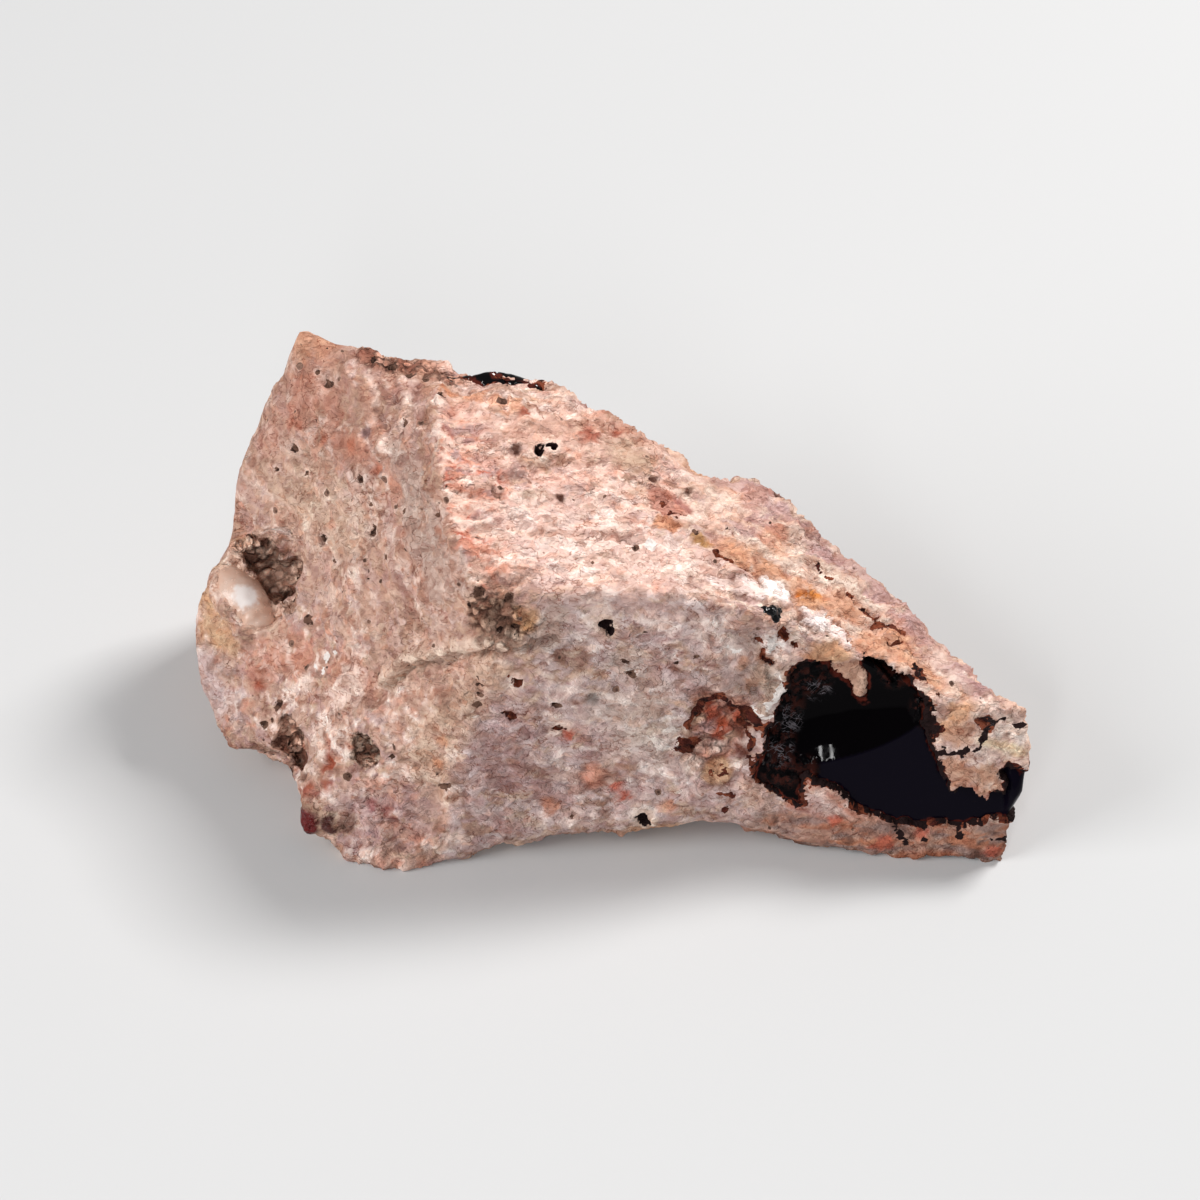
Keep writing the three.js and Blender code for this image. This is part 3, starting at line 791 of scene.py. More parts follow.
def hip_and_foot(skin):
    """The low left end: hollows with lumpy linings, red and ochre stains and flakes of pale crust with
    painted shadows.
    """
    rosy = srgb(248, 208, 184)
    tan = srgb(222, 180, 158)
    pale = srgb(236, 206, 184)
    for *place, radius, depth, colour in ((-26, 1.8, 13.8, 2.1, 1.4, rosy),
                                          (-27.9, 3.7, 14.9, 1.5, 1.2, rosy),
                                          (-29.3, 3.9, 16.3, 1.1, 0.8, rosy),
                                          (-25.6, -1.1, 14.5, 1.2, 1.3, rosy),
                                          (-25.2, -8.8, 4.9, 1.7, 0.9, tan),
                                          (-25.1, -8.6, 6.3, 1.2, 0.9, tan),
                                          (-19, -12.4, 8.3, 1.2, 0.8, pale),
                                          (-19.2, -12.3, 9.3, 0.9, 0.7, pale)):
        inside = skin.spot(place, radius, wobble=0.8)
        skin.dent(depth, 2.5 * inside)
        crumbled(skin, step_up(-0.05, 0.1, inside), 0.7, 0.4, 34, colour)
    skin.patches(srgb(208, 166, 130), 0.65, (-32, 0.5, 10.5, 1.8), (-31, -1.2, 9.8, 1.6),
                 (-31.5, 1.5, 12.5, 1.2), soft=0.5)
    skin.patches(srgb(206, 182, 178), 0.8, (-32, -3, 6.5, 1.6), (-31.5, -4, 5, 1.6), (-32.5, -1.5, 8, 1.2),
                 soft=0.8)
    skin.patches(srgb(202, 136, 112), 0.6, (-26, -4, 10.5, 1.7), (-24.5, -5, 11.5, 1.4),
                 (-28.3, -4.4, 8.5, 1.2), (-20.2, -7.5, 13, 1.6), (-18.5, -9.5, 13.2, 1.2), soft=0.6)
    skin.patches(srgb(182, 148, 148), 0.6, (-18, -15, 4, 2.4), (-20, -14.5, 4.5, 1.5), (-15, -15, 4, 2),
                 soft=0.6)
    skin.patches(srgb(140, 66, 62), 0.7, (-18.6, -14.6, 4.6, 0.5), (-17.6, -14.8, 4.2, 0.4),
                 (-16.8, -15, 3.6, 0.3), soft=0.4)
    skin.patches(RUST, 0.8, (-23.5, -13, 4.5, 0.9), (-22, -12, 7, 0.5), (-28, -5, 8.5, 0.4),
                 (-22.5, -13.5, 5.5, 0.5), soft=0.6)
    skin.patches(CREAM, 0.8, (-23.5, -6.5, 10.5, 0.8), (-24.3, -6.5, 10, 0.5), (-21, -9, 10.5, 1.4),
                 (-22.5, -9.5, 8, 1.2), (-19, -9, 12.5, 1.4))
    for x, y, z, radius in ((-21.9, -6.4, 13.2, 0.35), (-22.3, -7, 12.2, 0.3), (-21.4, -6.8, 13.9, 0.25),
                            (-23, -6.2, 12, 0.25)):
        skin.mark_spots("chalk_and_highlight", (x, y, z, radius))
        # painted shadow below and right of each pale crust flake
        skin.patches(BROWN * 0.6, 0.8, (x + 0.5, y - 0.1, z - 0.5, 0.8 * radius), soft=0.2)
    skin.pits(1.2, (-26.5, -6.5, 8, 0.5), (-27.5, -7, 6, 0.35), (-27, -7, 6.5, 0.25), (-23.5, -3, 14, 0.4),
              (-21, -15, 2.5, 0.3), (-20.5, -13.5, 6.5, 0.35), (-17, -14, 9, 0.3), (-24, -4, 14.5, 0.25))
    skin.crack(0.3, 0.5, (-29, -7, 2.5), (-27, -8.5, 3.5), (-25.5, -9.5, 3.5), (-24, -12, 5))
    skin.crack(0.28, 0.3, (-22.2, -11.3, 8), (-22, -12, 7), (-22.5, -12.5, 6), colour=RUST)
    foot = skin.spot((-19, -15.8, 1), 3.0, wobble=0)
    skin.height += 0.8 * step_up(-0.3, 0.6, foot)
    undercut = skin.spot((-27.5, -9.5, 1.5), 2.6, (1, -0.8, 0.3), 1.6)
    skin.dent(1.1, step_up(-0.2, 0.6, undercut))
    for *place, radius, colour in ((-23.9, -14.4, 2.4, 1.25, srgb(100, 28, 28)),
                                   (-22, -14.8, 2.7, 0.8, srgb(84, 48, 44)),
                                   (-20.6, -14.8, 2.8, 0.85, srgb(140, 106, 94))):
        inside = skin.spot(place, radius, wobble=0.4)
        skin.height += 0.4 * radius * np.sqrt(np.clip(inside, 0, 1))
        skin.paint(colour, step_up(-0.1, 0.2, inside))
        skin.paint(TAN * 0.8, 0.8 * np.exp(-((inside + 0.1) / 0.12) ** 2))
        skin.mark("glaze", inside)


# ---------------------------------------------------------------- where the opal shows

# The outline of the opal on the stone's face, in x and z: from its top left corner along the chipped rim,
# down its right side, round the stone's right end, back along the foot and up the left side. TONGUE is the
# tan rock that comes down into it from the rim.
OPAL_SHOWS = ((14.4, 16.6), (15.4, 17.5), (17.2, 17), (18.8, 16.9), (20.6, 17.1), (21.8, 17.4),
              (23.2, 16.4), (24.4, 15), (25.1, 13.6), (25, 12.2), (25.4, 11), (25.6, 10.2), (26.1, 9.4),
              (26.6, 8.3), (27.4, 7), (28.5, 7.4), (29.4, 6.8), (30.2, 6.2), (30.5, 6.9), (31.6, 7.1),
              (31.7, 7.8), (31, 8.7), (31.8, 9.3), (33.2, 8.7), (37, 8.7), (37, 3.8), (32.2, 3.9),
              (30.6, 3.9), (29.5, 3.6), (28.1, 3.2), (27.1, 3.6), (25.2, 3.2), (23, 3.5), (21.9, 4.2),
              (20.3, 4.6), (19.3, 5.4), (18.6, 6.5), (17.8, 7), (16.6, 7.5), (16.1, 8), (15.5, 7.6),
              (15.4, 6.8), (15.5, 4.9), (14.5, 5.2), (13.4, 6.2), (12.5, 6.8), (11.8, 7.4), (12.1, 8.6),
              (12.8, 9.9), (12.6, 10.9), (13.2, 12.4), (14, 13.8), (14.3, 15.2))
TONGUE = ((17.3, 18), (17.7, 16), (18.6, 15.4), (19.3, 14.7), (19.9, 13.5), (20.5, 13.4), (20.7, 14.8),
          (20.2, 16.5), (20.4, 18))
OPAL_BACK = -8.5            # the y that the opal reaches back to
TIP_LEVEL = 6.4             # the z that it narrows to at the right end
FACET_PLACE = (23, -15.2, 3.5)   # a place on the flat lower facet
FACET_TURN = -0.02          # y for each mm to the right
FACET_LEAN = 0.215          # y for each mm up
SCOOP_START = (17.1, 8.5)   # an x and z on the edge between the flat lower facet and the hollow above it
SCOOP_SLOPE = math.radians(13.5)
SCOOP_RADIUS = 9.0
SCOOP_MIDDLE = 6.5          # how far above that edge the hollow is deepest
SCOOP_BEND = 0.02           # the hollow also bends from left to right, about this x
SCOOP_BEND_X = 19
SCOOP_EDGE = math.sqrt(SCOOP_RADIUS ** 2 - SCOOP_MIDDLE ** 2)   # in y, from the arc's middle to that edge


def inside_outline(x, z, outline):
    """Distance in mm from each place to a closed outline, above 0 inside it."""
    best = np.full(len(x), np.inf)
    inside = np.zeros(len(x), bool)
    for (start_x, start_z), (end_x, end_z) in zip(outline, outline[1:] + outline[:1]):
        across = end_x - start_x
        up = end_z - start_z
        part = ((x - start_x) * across + (z - start_z) * up) / (across * across + up * up)
        part = np.clip(part, 0, 1)
        best = np.minimum(best, np.hypot(x - start_x - part * across, z - start_z - part * up))
        if up:
            level = (start_z > z) != (end_z > z)
            inside ^= level & (x < start_x + (z - start_z) * across / up)
    return np.where(inside, best, -best)


def opal_shows(points):
    """How far inside the opal's ragged outline each point is, in mm."""
    x, _, z = (points + 0.25 * sway(points, 1.0, 80) + 0.12 * sway(points, 0.45, 84)).T
    return np.minimum(inside_outline(x, z, OPAL_SHOWS), -inside_outline(x, z, TONGUE))


def above_scoop_edge(x, z):
    """How far above the slanting edge between facet and hollow each place is, in mm."""
    return (z - SCOOP_START[1]) * math.cos(SCOOP_SLOPE) - (x - SCOOP_START[0]) * math.sin(SCOOP_SLOPE)


def flat_facet(x, z):
    """y of the flat lower facet, which leans back and turns a little to the right."""
    place_x, place_y, place_z = FACET_PLACE
    return place_y + FACET_LEAN * (z - place_z) + FACET_TURN * (x - place_x)


def opal_front(x, z):
    """y of the opal's face: a flat lower facet, and a hollow cut into it above a slanting edge."""
    flat = flat_facet(x, z)
    rise = np.clip(above_scoop_edge(x, z), 0, 8)
    hollow = np.sqrt(SCOOP_RADIUS ** 2 - (rise - SCOOP_MIDDLE) ** 2) - SCOOP_EDGE
    start = flat_facet(x, SCOOP_START[1])
    bend = SCOOP_BEND * (x - SCOOP_BEND_X) ** 2
    return np.where(rise > 0, np.maximum(flat, start + hollow - bend), flat)


def where_opal_shows(skin):
    """How far inside the opal each vertex is, in mm. The opal narrows towards the back of the right end."""
    p = skin.points
    x, y, z = p.T
    hollow = np.abs(y - opal_front(x, z)) < 2.2
    wedge = 0.6 + 0.8 * np.clip(np.abs(z - TIP_LEVEL), 0, 3) - layered_noise(p, 3.0, 59, 3)
    wedge *= step_up(29, 31, x)
    back = OPAL_BACK + 0.8 * layered_noise(p, 2.0, 58, 2) - wedge
    near = (x > 10) & (y < back + 1.5) & ((skin.normals[:, 2] < 0.62) | (hollow & (z < 16)))
    skin.opal = np.full(len(p), -FAR)
    skin.opal[near] = np.minimum(opal_shows(p[near]), (back - y)[near])


def opal_rim(skin):
    """The dark rim of the opal, wide where the rock is crumbled and narrow on the tan tongue."""
    x, _, z = skin.points.T
    edge = np.full(len(x), 0.3)
    for *place, radius, width in ((25.7, -13.2, 13.3, 2.6, 1.3), (22.6, -10.8, 16, 1.4, 0.9),
                                  (20.2, -10.7, 15.4, 1.0, 0.7), (24.5, -11.2, 15.7, 1.2, 0.7),
                                  (14.9, -12.2, 17, 1.5, 0.6), (16.5, -14.3, 6.3, 2.0, 0.5)):
        edge = np.maximum(edge, width * step_up(-0.1, 0.5, skin.spot(place, radius)))
    tongue = step_up(-0.2, 0.3, skin.spot((19.3, -11.4, 15.3), 1.8, (0.4, 0, -1), 1.3, 0.5)) * (x > 17)
    edge *= (1 - 0.8 * tongue) * (1 + 0.7 * skin.flakes[:, 0] + 0.4 * skin.flakes[:, 1])
    skin.paint(srgb(206, 166, 144), tongue)
    skin.height += 0.5 * tongue * step_up(0.2, -0.2, skin.opal)
    halo = np.exp(-((skin.opal + 0.5) / 0.45) ** 2) * (z < 8)
    skin.paint(srgb(186, 104, 66), 0.55 * halo * step_up(-0.4, 0.3, skin.flakes[:, 3]))
    edge *= np.where((z < 7) & (x > 18), 0.6, 1)
    band = step_up(-1.7, -0.4, skin.opal) * step_up(0.5, 1.2, edge)
    rough = chips(skin.points, 1.0, 36)
    skin.height += band * 0.45 * chips(skin.points, 0.8, 36) + 0.2 * step_up(-1.2, -0.4, skin.opal) * rough
    skin.mark("rust", (skin.opal + edge) / 0.25)
    skin.mark("black_and_shade", np.where(skin.flakes[:, 2] > -0.5, (skin.opal + 0.75 * edge) / 0.25, -FAR))


def glassy_lumps(skin):
    """Grey and white glassy lumps on the rock between the front face and the opal, with painted shade between
    them and painted highlights on their edges.
    """
    skin.patches(srgb(172, 146, 138), 0.8, (11, -12, 19.5, 1.3), (10.8, -12.7, 17.4, 1.5),
                 (12.1, -12.9, 15.5, 1.4), (12.3, -12.4, 17.3, 1.2), soft=0.3)
    skin.patches(srgb(232, 214, 206), 0.9, (12.8, -11.6, 19.6, 0.8), (13.4, -11.5, 18.9, 0.5),
                 (13.3, -12.6, 16.4, 0.7), (9.6, -12.4, 19.2, 0.6), (10.4, -12.2, 18.9, 0.4),
                 (14, -12.6, 15, 0.5), soft=0.15)
    # painted shade: brown between the pale lumps
    skin.patches(srgb(176, 128, 104), 0.8, (10.6, -12.6, 18, 0.6), (11.6, -12.4, 16.2, 0.6),
                 (12.2, -12.2, 18.4, 0.5), soft=0.2)
    glassy = step_up(-0.2, 0.3, skin.spot((12.2, -12.5, 17.5), 2.4, (0.2, 0, 1), 1.3))
    skin.height += glassy * 0.7 * chips(skin.points, 1.5, 37)
    skin.mark("glaze", np.minimum(skin.spot((12, -12.5, 17.5), 2.4), skin.flakes[:, 1]))
    skin.patches(srgb(190, 160, 142), 0.85, (12.7, -12.9, 15.5, 0.9), (12.5, -13.1, 13.6, 0.8),
                 (12.4, -12.6, 17, 0.8), soft=0.2)
    # painted highlights: white lines and spots along the lumps' glassy edges
    skin.mark("chalk_and_highlight", skin.line(((13, -13.1, 13.9), (13.6, -13, 15), (14.2, -12.7, 16),
                                  (14.4, -12.4, 16.8)), 0.4))
    skin.mark("chalk_and_highlight", skin.line(((11.2, -13.2, 13.6), (12, -13.2, 12.9), (12.9, -13.1, 12.9)), 0.3) - 0.1)
    skin.mark("chalk_and_highlight", skin.spot((12.9, -11.9, 19.3), 0.6) - 0.2)
    skin.mark("chalk_and_highlight", skin.line(((9.3, -12.5, 19.5), (10.2, -12.4, 19.2), (11, -12, 19)), 0.25) - 0.2)


def rusty_patch(skin):
    """The rust-stained patch left of the opal, with its dark arch and a round tan disc below."""
    stain = step_up(-0.15, 0.15, skin.spot((8.9, -13.8, 11.2), 2.7, (0.1, 0, 1), 1.25))
    skin.height -= 0.25 * stain
    crumbled(skin, 0.6 * stain, 1.1, 0.4, 39, srgb(206, 140, 112))
    skin.patches(srgb(190, 84, 52), 0.85, (8.2, -13.5, 13.4, 0.8), (9.3, -13.5, 12.2, 0.7),
                 (8.9, -13.5, 11, 0.6), (10.4, -13.6, 12.9, 0.6), soft=0.25)
    skin.patches(srgb(120, 62, 46), 0.8, (9.6, -13.6, 13.6, 0.6), (10.5, -13.7, 11.6, 0.7),
                 (10.8, -13.8, 9.8, 0.6), soft=0.25)
    skin.patches(srgb(214, 178, 152), 0.8, (9.9, -13.7, 10.8, 0.45), (7.4, -13.7, 13, 0.4), soft=0.25)
    skin.patches(MAUVE, 0.8, (8, -13.5, 12, 0.5), (7.2, -14, 11.2, 0.4), soft=0.3)
    arch = skin.line(((6.6, -13.5, 12.6), (7.2, -13.5, 14), (8, -13.5, 15), (9, -13.5, 15.1),
                      (10, -13.5, 14.5), (10.7, -13.5, 13.6), (11.8, -13.6, 12.6), (12.4, -13.6, 11.5)), 0.42)
    skin.mark("rust", arch)
    skin.mark_spots("rust", (6.7, -13.9, 10.2, 0.9), (9.5, -15, 4, 0.3))
    skin.mark("rust", skin.line(((10.9, -13.6, 12.6), (11.6, -13.7, 11), (11.4, -14, 9.4),
                                 (11.8, -14.2, 8)), 0.3))
    skin.mark("rust", skin.line(((8.9, -14.4, 5.7), (9.4, -14.5, 6), (10, -14.5, 5.5)), 0.3))
    disc = skin.spot((8.9, -14, 8), 1.35, wobble=0.5)
    skin.paint(srgb(196, 150, 116), 0.9 * step_up(-0.15, 0.15, disc))
    skin.paint(UMBER, 0.75 * np.exp(-((disc - 0.02) / 0.1) ** 2))
    skin.mark("rust", 0.3 - np.abs(disc - 0.6) / 0.25)
    skin.patches(CREAM, 0.9, (9, -13.5, 10, 0.4), (10.5, -14, 8.5, 0.5), (11, -14.5, 6.5, 0.5),
                 (6.8, -14, 8.8, 0.7), (11.5, -14.5, 5, 0.4), soft=0.4)
    skin.patches(srgb(198, 160, 144), 0.8, (12, -14.5, 6, 1.2), (12.8, -14.6, 5, 1.0), soft=0.3)


def flow_band(skin):
    """The orange and mauve band that runs down to the right end."""
    skin.patches(srgb(212, 154, 120), 0.75, (10, -5.6, 23.3, 1.0), (11.5, -5.8, 22.8, 1.0),
                 (12.9, -6.3, 22.1, 1.0), (15.4, -7.3, 20.6, 1.3), (18.7, -6.8, 19, 1.5),
                 (20.9, -9.1, 17.4, 1.5), (23.4, -8, 16.8, 1.1), (24.1, -10.1, 16.1, 1.2),
                 (25.8, -11.5, 15, 0.9), along=BAND_WAY, stretch=1.5, soft=0.5)
    skin.patches(srgb(216, 158, 118), 0.8, (27.8, -13.2, 13.5, 1.2), (26.9, -13.5, 12.3, 0.9),
                 (16, -8, 20.3, 1.0), soft=0.4)
    skin.patches(MAUVE, 0.7, (22, -4, 18, 1.3), (25, -7, 16.5, 1.3), (28, -10.2, 14.7, 1.4),
                 (29.6, -11.3, 13.9, 1.2), along=BAND_WAY, stretch=1.6, soft=0.5)
    skin.patches(srgb(228, 198, 184), 0.8, (30.2, -12.7, 13.4, 0.9), (31.3, -13, 13, 0.8),
                 (26.5, -9, 15.6, 0.8), soft=0.4)
    skin.patches(srgb(212, 130, 54), 0.9, (15.4, -7.3, 20.6, 0.5), (16.4, -6.8, 20.1, 0.4), soft=0.4)
    skin.patches(srgb(222, 178, 150), 0.9, (17.1, -11.6, 17.9, 1.2), (18.4, -11, 17.6, 0.7), soft=0.2)


def crusts_and_slits(skin):
    """Flat white crusts above the opal, and the rust-lined slits round them."""
    white = srgb(252, 238, 232)
    rosy = srgb(246, 222, 214)
    plate(skin, (9.4, -9.4, 23.2), 1.5, 0.6, 5, rosy)
    plate(skin, (11.2, -9, 22.6), 1.6, 0.8, -10, rosy)
    plate(skin, (13.1, -8.4, 21.8), 1.1, 1.1, 25, white)
    plate(skin, (16.7, -9.5, 19.8), 1.3, 0.9, 10, white)
    plate(skin, (18.2, -10, 18.6), 1.1, 0.6, -35, rosy)
    scoop = skin.line(((8.6, -5.9, 23.8), (9.2, -6.6, 23.5), (10.2, -7, 23.1), (11.4, -7.2, 22.7)), 0.3, 0.5)
    skin.slit(0.5, scoop)
    for width, places in ((0.3, ((19.2, -5.6, 19.1), (20, -5.9, 18.7), (20.7, -6.4, 18.2))),
                          (0.42, ((21.1, -7, 17.9), (22.2, -7.4, 17.4), (23.2, -7.6, 16.9))),
                          (0.32, ((22.2, -9, 17), (23, -8.7, 16.8))),
                          (0.2, ((16.7, -3.9, 20.6), (17.6, -4.5, 20), (18.5, -5.1, 19.5)))):
        skin.slit(0.25, skin.line(places, 0.75 * width) + 0.7 * skin.flakes[:, 1], 1.1)
    for places in (((13.8, -11.2, 20.4), (14.4, -11.4, 19.4), (14.8, -11.6, 18.9)),
                   ((11.9, -11.8, 19.5), (12.2, -12.1, 18.5), (13, -12.3, 17.8))):
        skin.slit(0.5, skin.line(places, 0.24) + 0.3 * skin.flakes[:, 1], 1.05)
    smooth = np.maximum(skin.spot((17.4, -11.5, 17.9), 1.3), skin.spot((16.5, -11.7, 17.8), 0.9))
    smooth = step_up(-0.1, 0.2, smooth)
    skin.height *= 1 - 0.7 * smooth
    skin.paint(srgb(208, 160, 126), 0.95 * smooth)


def right_tip(skin):
    """The black vein and the pale crusts where the stone comes to its right end."""
    vein = skin.line(((25.5, -13.9, 10.2), (26.8, -14.1, 9.9), (28.4, -14.2, 10), (29.5, -14.2, 10.5),
                      (29.7, -13.8, 11.6), (29.9, -13.6, 12.2)), 0.24)
    skin.mark("black_and_shade", vein)
    skin.mark("black_and_shade", skin.line(((30.2, -13.3, 12.6), (31.4, -13.2, 12.3), (32.7, -13, 12)), 0.24))
    skin.mark_spots("black_and_shade", (28.4, -14.1, 10.4, 0.35), (26.6, -14.1, 10.2, 0.3))
    for name in ("rust", "glaze"):
        skin.mark_spots(name, (30, -13.4, 12.4, 0.75))
    skin.patches(UMBER, 0.9, (32.6, -13.6, 11.4, 0.5), (31.7, -13.7, 11.5, 0.3), soft=0.3)
    skin.patches(srgb(236, 216, 204), 0.9, (31, -13.6, 11.3, 0.9), (32.3, -13.5, 11, 0.8),
                 (30.6, -14, 10.8, 0.8), soft=0.2)
    skin.patches(srgb(240, 214, 178), 0.8, (30, -14.1, 11, 0.5), (31.1, -14.2, 10.7, 0.5),
                 (32.3, -14.3, 10.3, 0.5), along=(1, 0, -0.3), stretch=1.8, soft=0.4)
    skin.patches(srgb(194, 148, 124), 0.9, (28.3, -14.6, 8.6, 1.4), (29.8, -14.9, 8.2, 1.2),
                 (27.8, -14, 11.5, 1.2), soft=0.3)


def foot_below_opal(skin):
    """The layered foot below the opal, in brown, rust and grey; its darker brown is partly painted shade."""
    x, y, z = skin.points.T
    foot = step_up(4.4, 3, z) * step_up(9, 14, x) * (y < -8)
    bands = streaks(skin.points, (1, 0, 0.04), 0.8, 5, 41)
    # the darker brown is partly the foot's own colour and partly painted shade under the opal
    skin.paint(srgb(172, 128, 108), 0.8 * foot)
    skin.paint(srgb(168, 98, 66), 0.7 * foot * step_up(0.1, 0.3, bands + 0.4 * skin.flakes[:, 0]))
    skin.paint(srgb(138, 116, 112), 0.7 * foot * step_up(0.1, 0.3, -bands + 0.4 * skin.flakes[:, 1]))
    skin.paint(UMBER, 0.7 * foot * step_up(0.6, 0.75, skin.flakes[:, 2]))
    skin.height += 0.15 * foot * terraces(bands, 0.4)
    for places in (((30.1, -16.1, 2.1), (31.1, -16.2, 2.1), (32, -16, 2.1)),
                   ((28, -15.6, 3.2), (28, -16, 2.3)), ((25.4, -15.6, 3), (25.2, -15.8, 2.2)),
                   ((23.2, -15.5, 3.2), (23.9, -15.9, 1.5))):
        skin.mark("black_and_shade", skin.line(places, 0.22))
    skin.patches(UMBER, 0.8, (29.6, -16.4, 0.8, 0.7), (19.5, -16, 1.6, 0.4), (13.6, -14.8, 3.1, 0.3),
                 soft=0.3)
    skin.patches(RED, 0.8, (25.3, -15.7, 2.4, 0.5), (18.4, -15.4, 3.6, 0.5), (22, -16, 1.2, 0.7),
                 (31, -16.2, 0.8, 0.6))


def stained_back(skin):
    """The faces that the front view doesn't reach carry the same rock: a slightly darker, duller tint where
    they look back or down, with a few stains.
    """
    away = step_up(-0.1, 0.35, skin.normals[:, 1])
    low = step_up(0.3, 0.7, -skin.normals[:, 2])
    dull = np.maximum(away, low)
    skin.paint(srgb(202, 166, 146), 0.45 * dull)
    stain = layered_noise(skin.warped, 5.0, 42, 3)
    skin.paint(OCHRE, 0.5 * dull * step_up(0.15, 0.6, stain))
    skin.paint(MAUVE, 0.5 * dull * step_up(0.15, 0.6, -stain))


# ---------------------------------------------------------------- the rock as one piece

def thinned(obj, most):
    """Takes triangles away where the surface is flat, until at most so many are left."""
    count = len(obj.data.polygons)
    if count <= most:
        return
    decimate = obj.modifiers.new("Decimate", "DECIMATE")
    decimate.ratio = most / count
    bpy.context.view_layer.objects.active = obj
    bpy.ops.object.modifier_apply(modifier=decimate.name)


def give_values(obj, **values):
    """Stores a number for each vertex under each name, for the materials to read."""
    for name, numbers in values.items():
        attribute = obj.data.attributes.new(name, "FLOAT", "POINT")
        attribute.data.foreach_set("value", numbers.astype(np.float32))


LENS_PLACE = np.array((-29.4, 0.9, 12.5))   # as in the CAD: its middle and the way its length runs
LENS_WAY = np.array((4, -5, -2)) / np.linalg.norm((4, -5, -2))
OPAL_DEPTH = 1.3    # how far the rock sinks where the opal shows
OPAL_BURIED = 1.1   # how far the opal runs on under the rock round it
OPAL_RISE = (-0.05, 0.45)   # how far inside the outline the rock starts to sink, and is down
LENS_DEPTH = 1.7    # how deep the rock is where the lens lies, and the strip
STRIP_DEPTH = 0.7
TIP = 31.8          # right of this x the opal is as round as the stone


def make_room(skin):
    """Sinks the rock where the opal, the lens and the strip show, so that their own pieces lie in it."""
    skin.height = np.where(skin.opal > 0.3, 0, skin.height)
    skin.height -= (OPAL_DEPTH + SWELL) * step_up(*OPAL_RISE, skin.opal)
    lens_shows = skin.spot((-29, -0.1, 13.7), 1.7, LENS_WAY, 2.0, 0.7)
    skin.height += step_up(-0.15, 0.1, lens_shows) * (-LENS_DEPTH - skin.height)
    skin.paint(srgb(240, 206, 184), step_up(-0.4, 0.2, lens_shows))
    skin.height += skin.strip * (-STRIP_DEPTH - skin.height)


FEATURES = (paint_ground, carve_fracture, carve_pores, sharpen_edges, stained_back, left_face,
            crest_and_ridge, top_face, ledge, front_face, hip_and_foot, where_opal_shows, opal_rim,
            glassy_lumps, rusty_patch, flow_band, crusts_and_slits, right_tip, foot_below_opal, make_room)


def rock(skin):
    """The rhyolite, carved and painted, thinned to fewer triangles and kept out of the opal's way."""
    for feature in FEATURES:
        feature(skin)
    moved = skin.points + skin.height[:, None] * skin.normals
    x, y, z = moved.T
    behind = opal_front(x, z) + OPAL_DEPTH * step_up(*OPAL_RISE, skin.opal)
    moved[:, 1] = np.where((skin.opal > 0) & (x < TIP), np.maximum(y, behind), y)
    moved[:, 2] = np.maximum(z, 0)
    obj = write_mesh("rhyolite", moved, skin.triangles)
    tint = obj.data.attributes.new("tint", "FLOAT_COLOR", "POINT")
    opaque = np.column_stack([skin.tint, np.ones(len(moved))])
    tint.data.foreach_set("color", opaque.astype(np.float32).ravel())
    give_values(obj, **skin.marks)
    thinned(obj, MOST_TRIANGLES)
    obj.data.materials.append(rock_material())
    return obj


# ---------------------------------------------------------------- the minerals

RIPPLES_FROM = (23, -11, 18)
RIPPLE = 1.9        # from one ripple to the next
OPAL_INSET = 0.45   # what the opal's face is under the uncarved stone where it isn't flat
OPAL_ROUNDS = 25    # of smoothing
OPAL_INWARD = (-0.35, 1, 0)
EDGE_THICKNESS = 0.5
MORE_THICKNESS = 2.2   # is added well inside the outline
STRIP_VOXEL = 0.13
STRIP_ROUNDS = 8
BEAD_VOXEL = 0.09
LENS_VOXEL = 0.12
LENS_ROUNDS = 20
LENS_ARC = 0.75     # from one chipped arc to the next
MILK_AND_HIGHLIGHT_PLACE = (-29, -0.4, 14.3)   # where the white patch is painted: the lens's milkiness and a painted highlight
MILK_AND_HIGHLIGHT_REACH = 2.1


def closed_patch(points, triangles, inward, depth):
    """A closed body from a patch of surface and a copy of it pushed inward."""
    start, end = edges_of(triangles).T
    count = len(points)
    forward = start.astype(np.int64) * count + end
    backward = end.astype(np.int64) * count + start
    border = ~np.isin(forward, backward)
    start, end = start[border], end[border]
    lower = np.stack([end, start, start + count], 1)
    upper = np.stack([end, start + count, end + count], 1)
    walls = np.concatenate([lower, upper])
    inner = points + depth[:, None] * np.array(inward) / np.linalg.norm(inward)
    return np.concatenate([points, inner]), np.concatenate([triangles, triangles[:, ::-1] + count, walls])


def strongest(x, z, *spots):
    """The strongest at each place of round spots, each an x, a z, a radius, a strength and its softness."""
    best = np.zeros(len(x))
    for spot_x, spot_z, radius, strength, soft in spots:
        inside = 1 - np.hypot(x - spot_x, z - spot_z) / radius
        best = np.maximum(best, strength * step_up(0, soft, inside))
    return best


def opal_relief(points, crumbly, shows):
    """What is added to the y of the opal's face: faint ripples, chips on its crumbly rim, and its edge."""
    rings = np.linalg.norm(points - RIPPLES_FROM, axis=1)
    ripple = 0.002 * np.sin(2 * np.pi * rings / RIPPLE) + 0.003 * layered_noise(points, 2.5, 51, 2)
    return ripple - crumbly * 0.4 * chips(points, 0.9, 52) - crumbly * 0.1 + 0.8 * step_up(0.1, -0.4, shows)


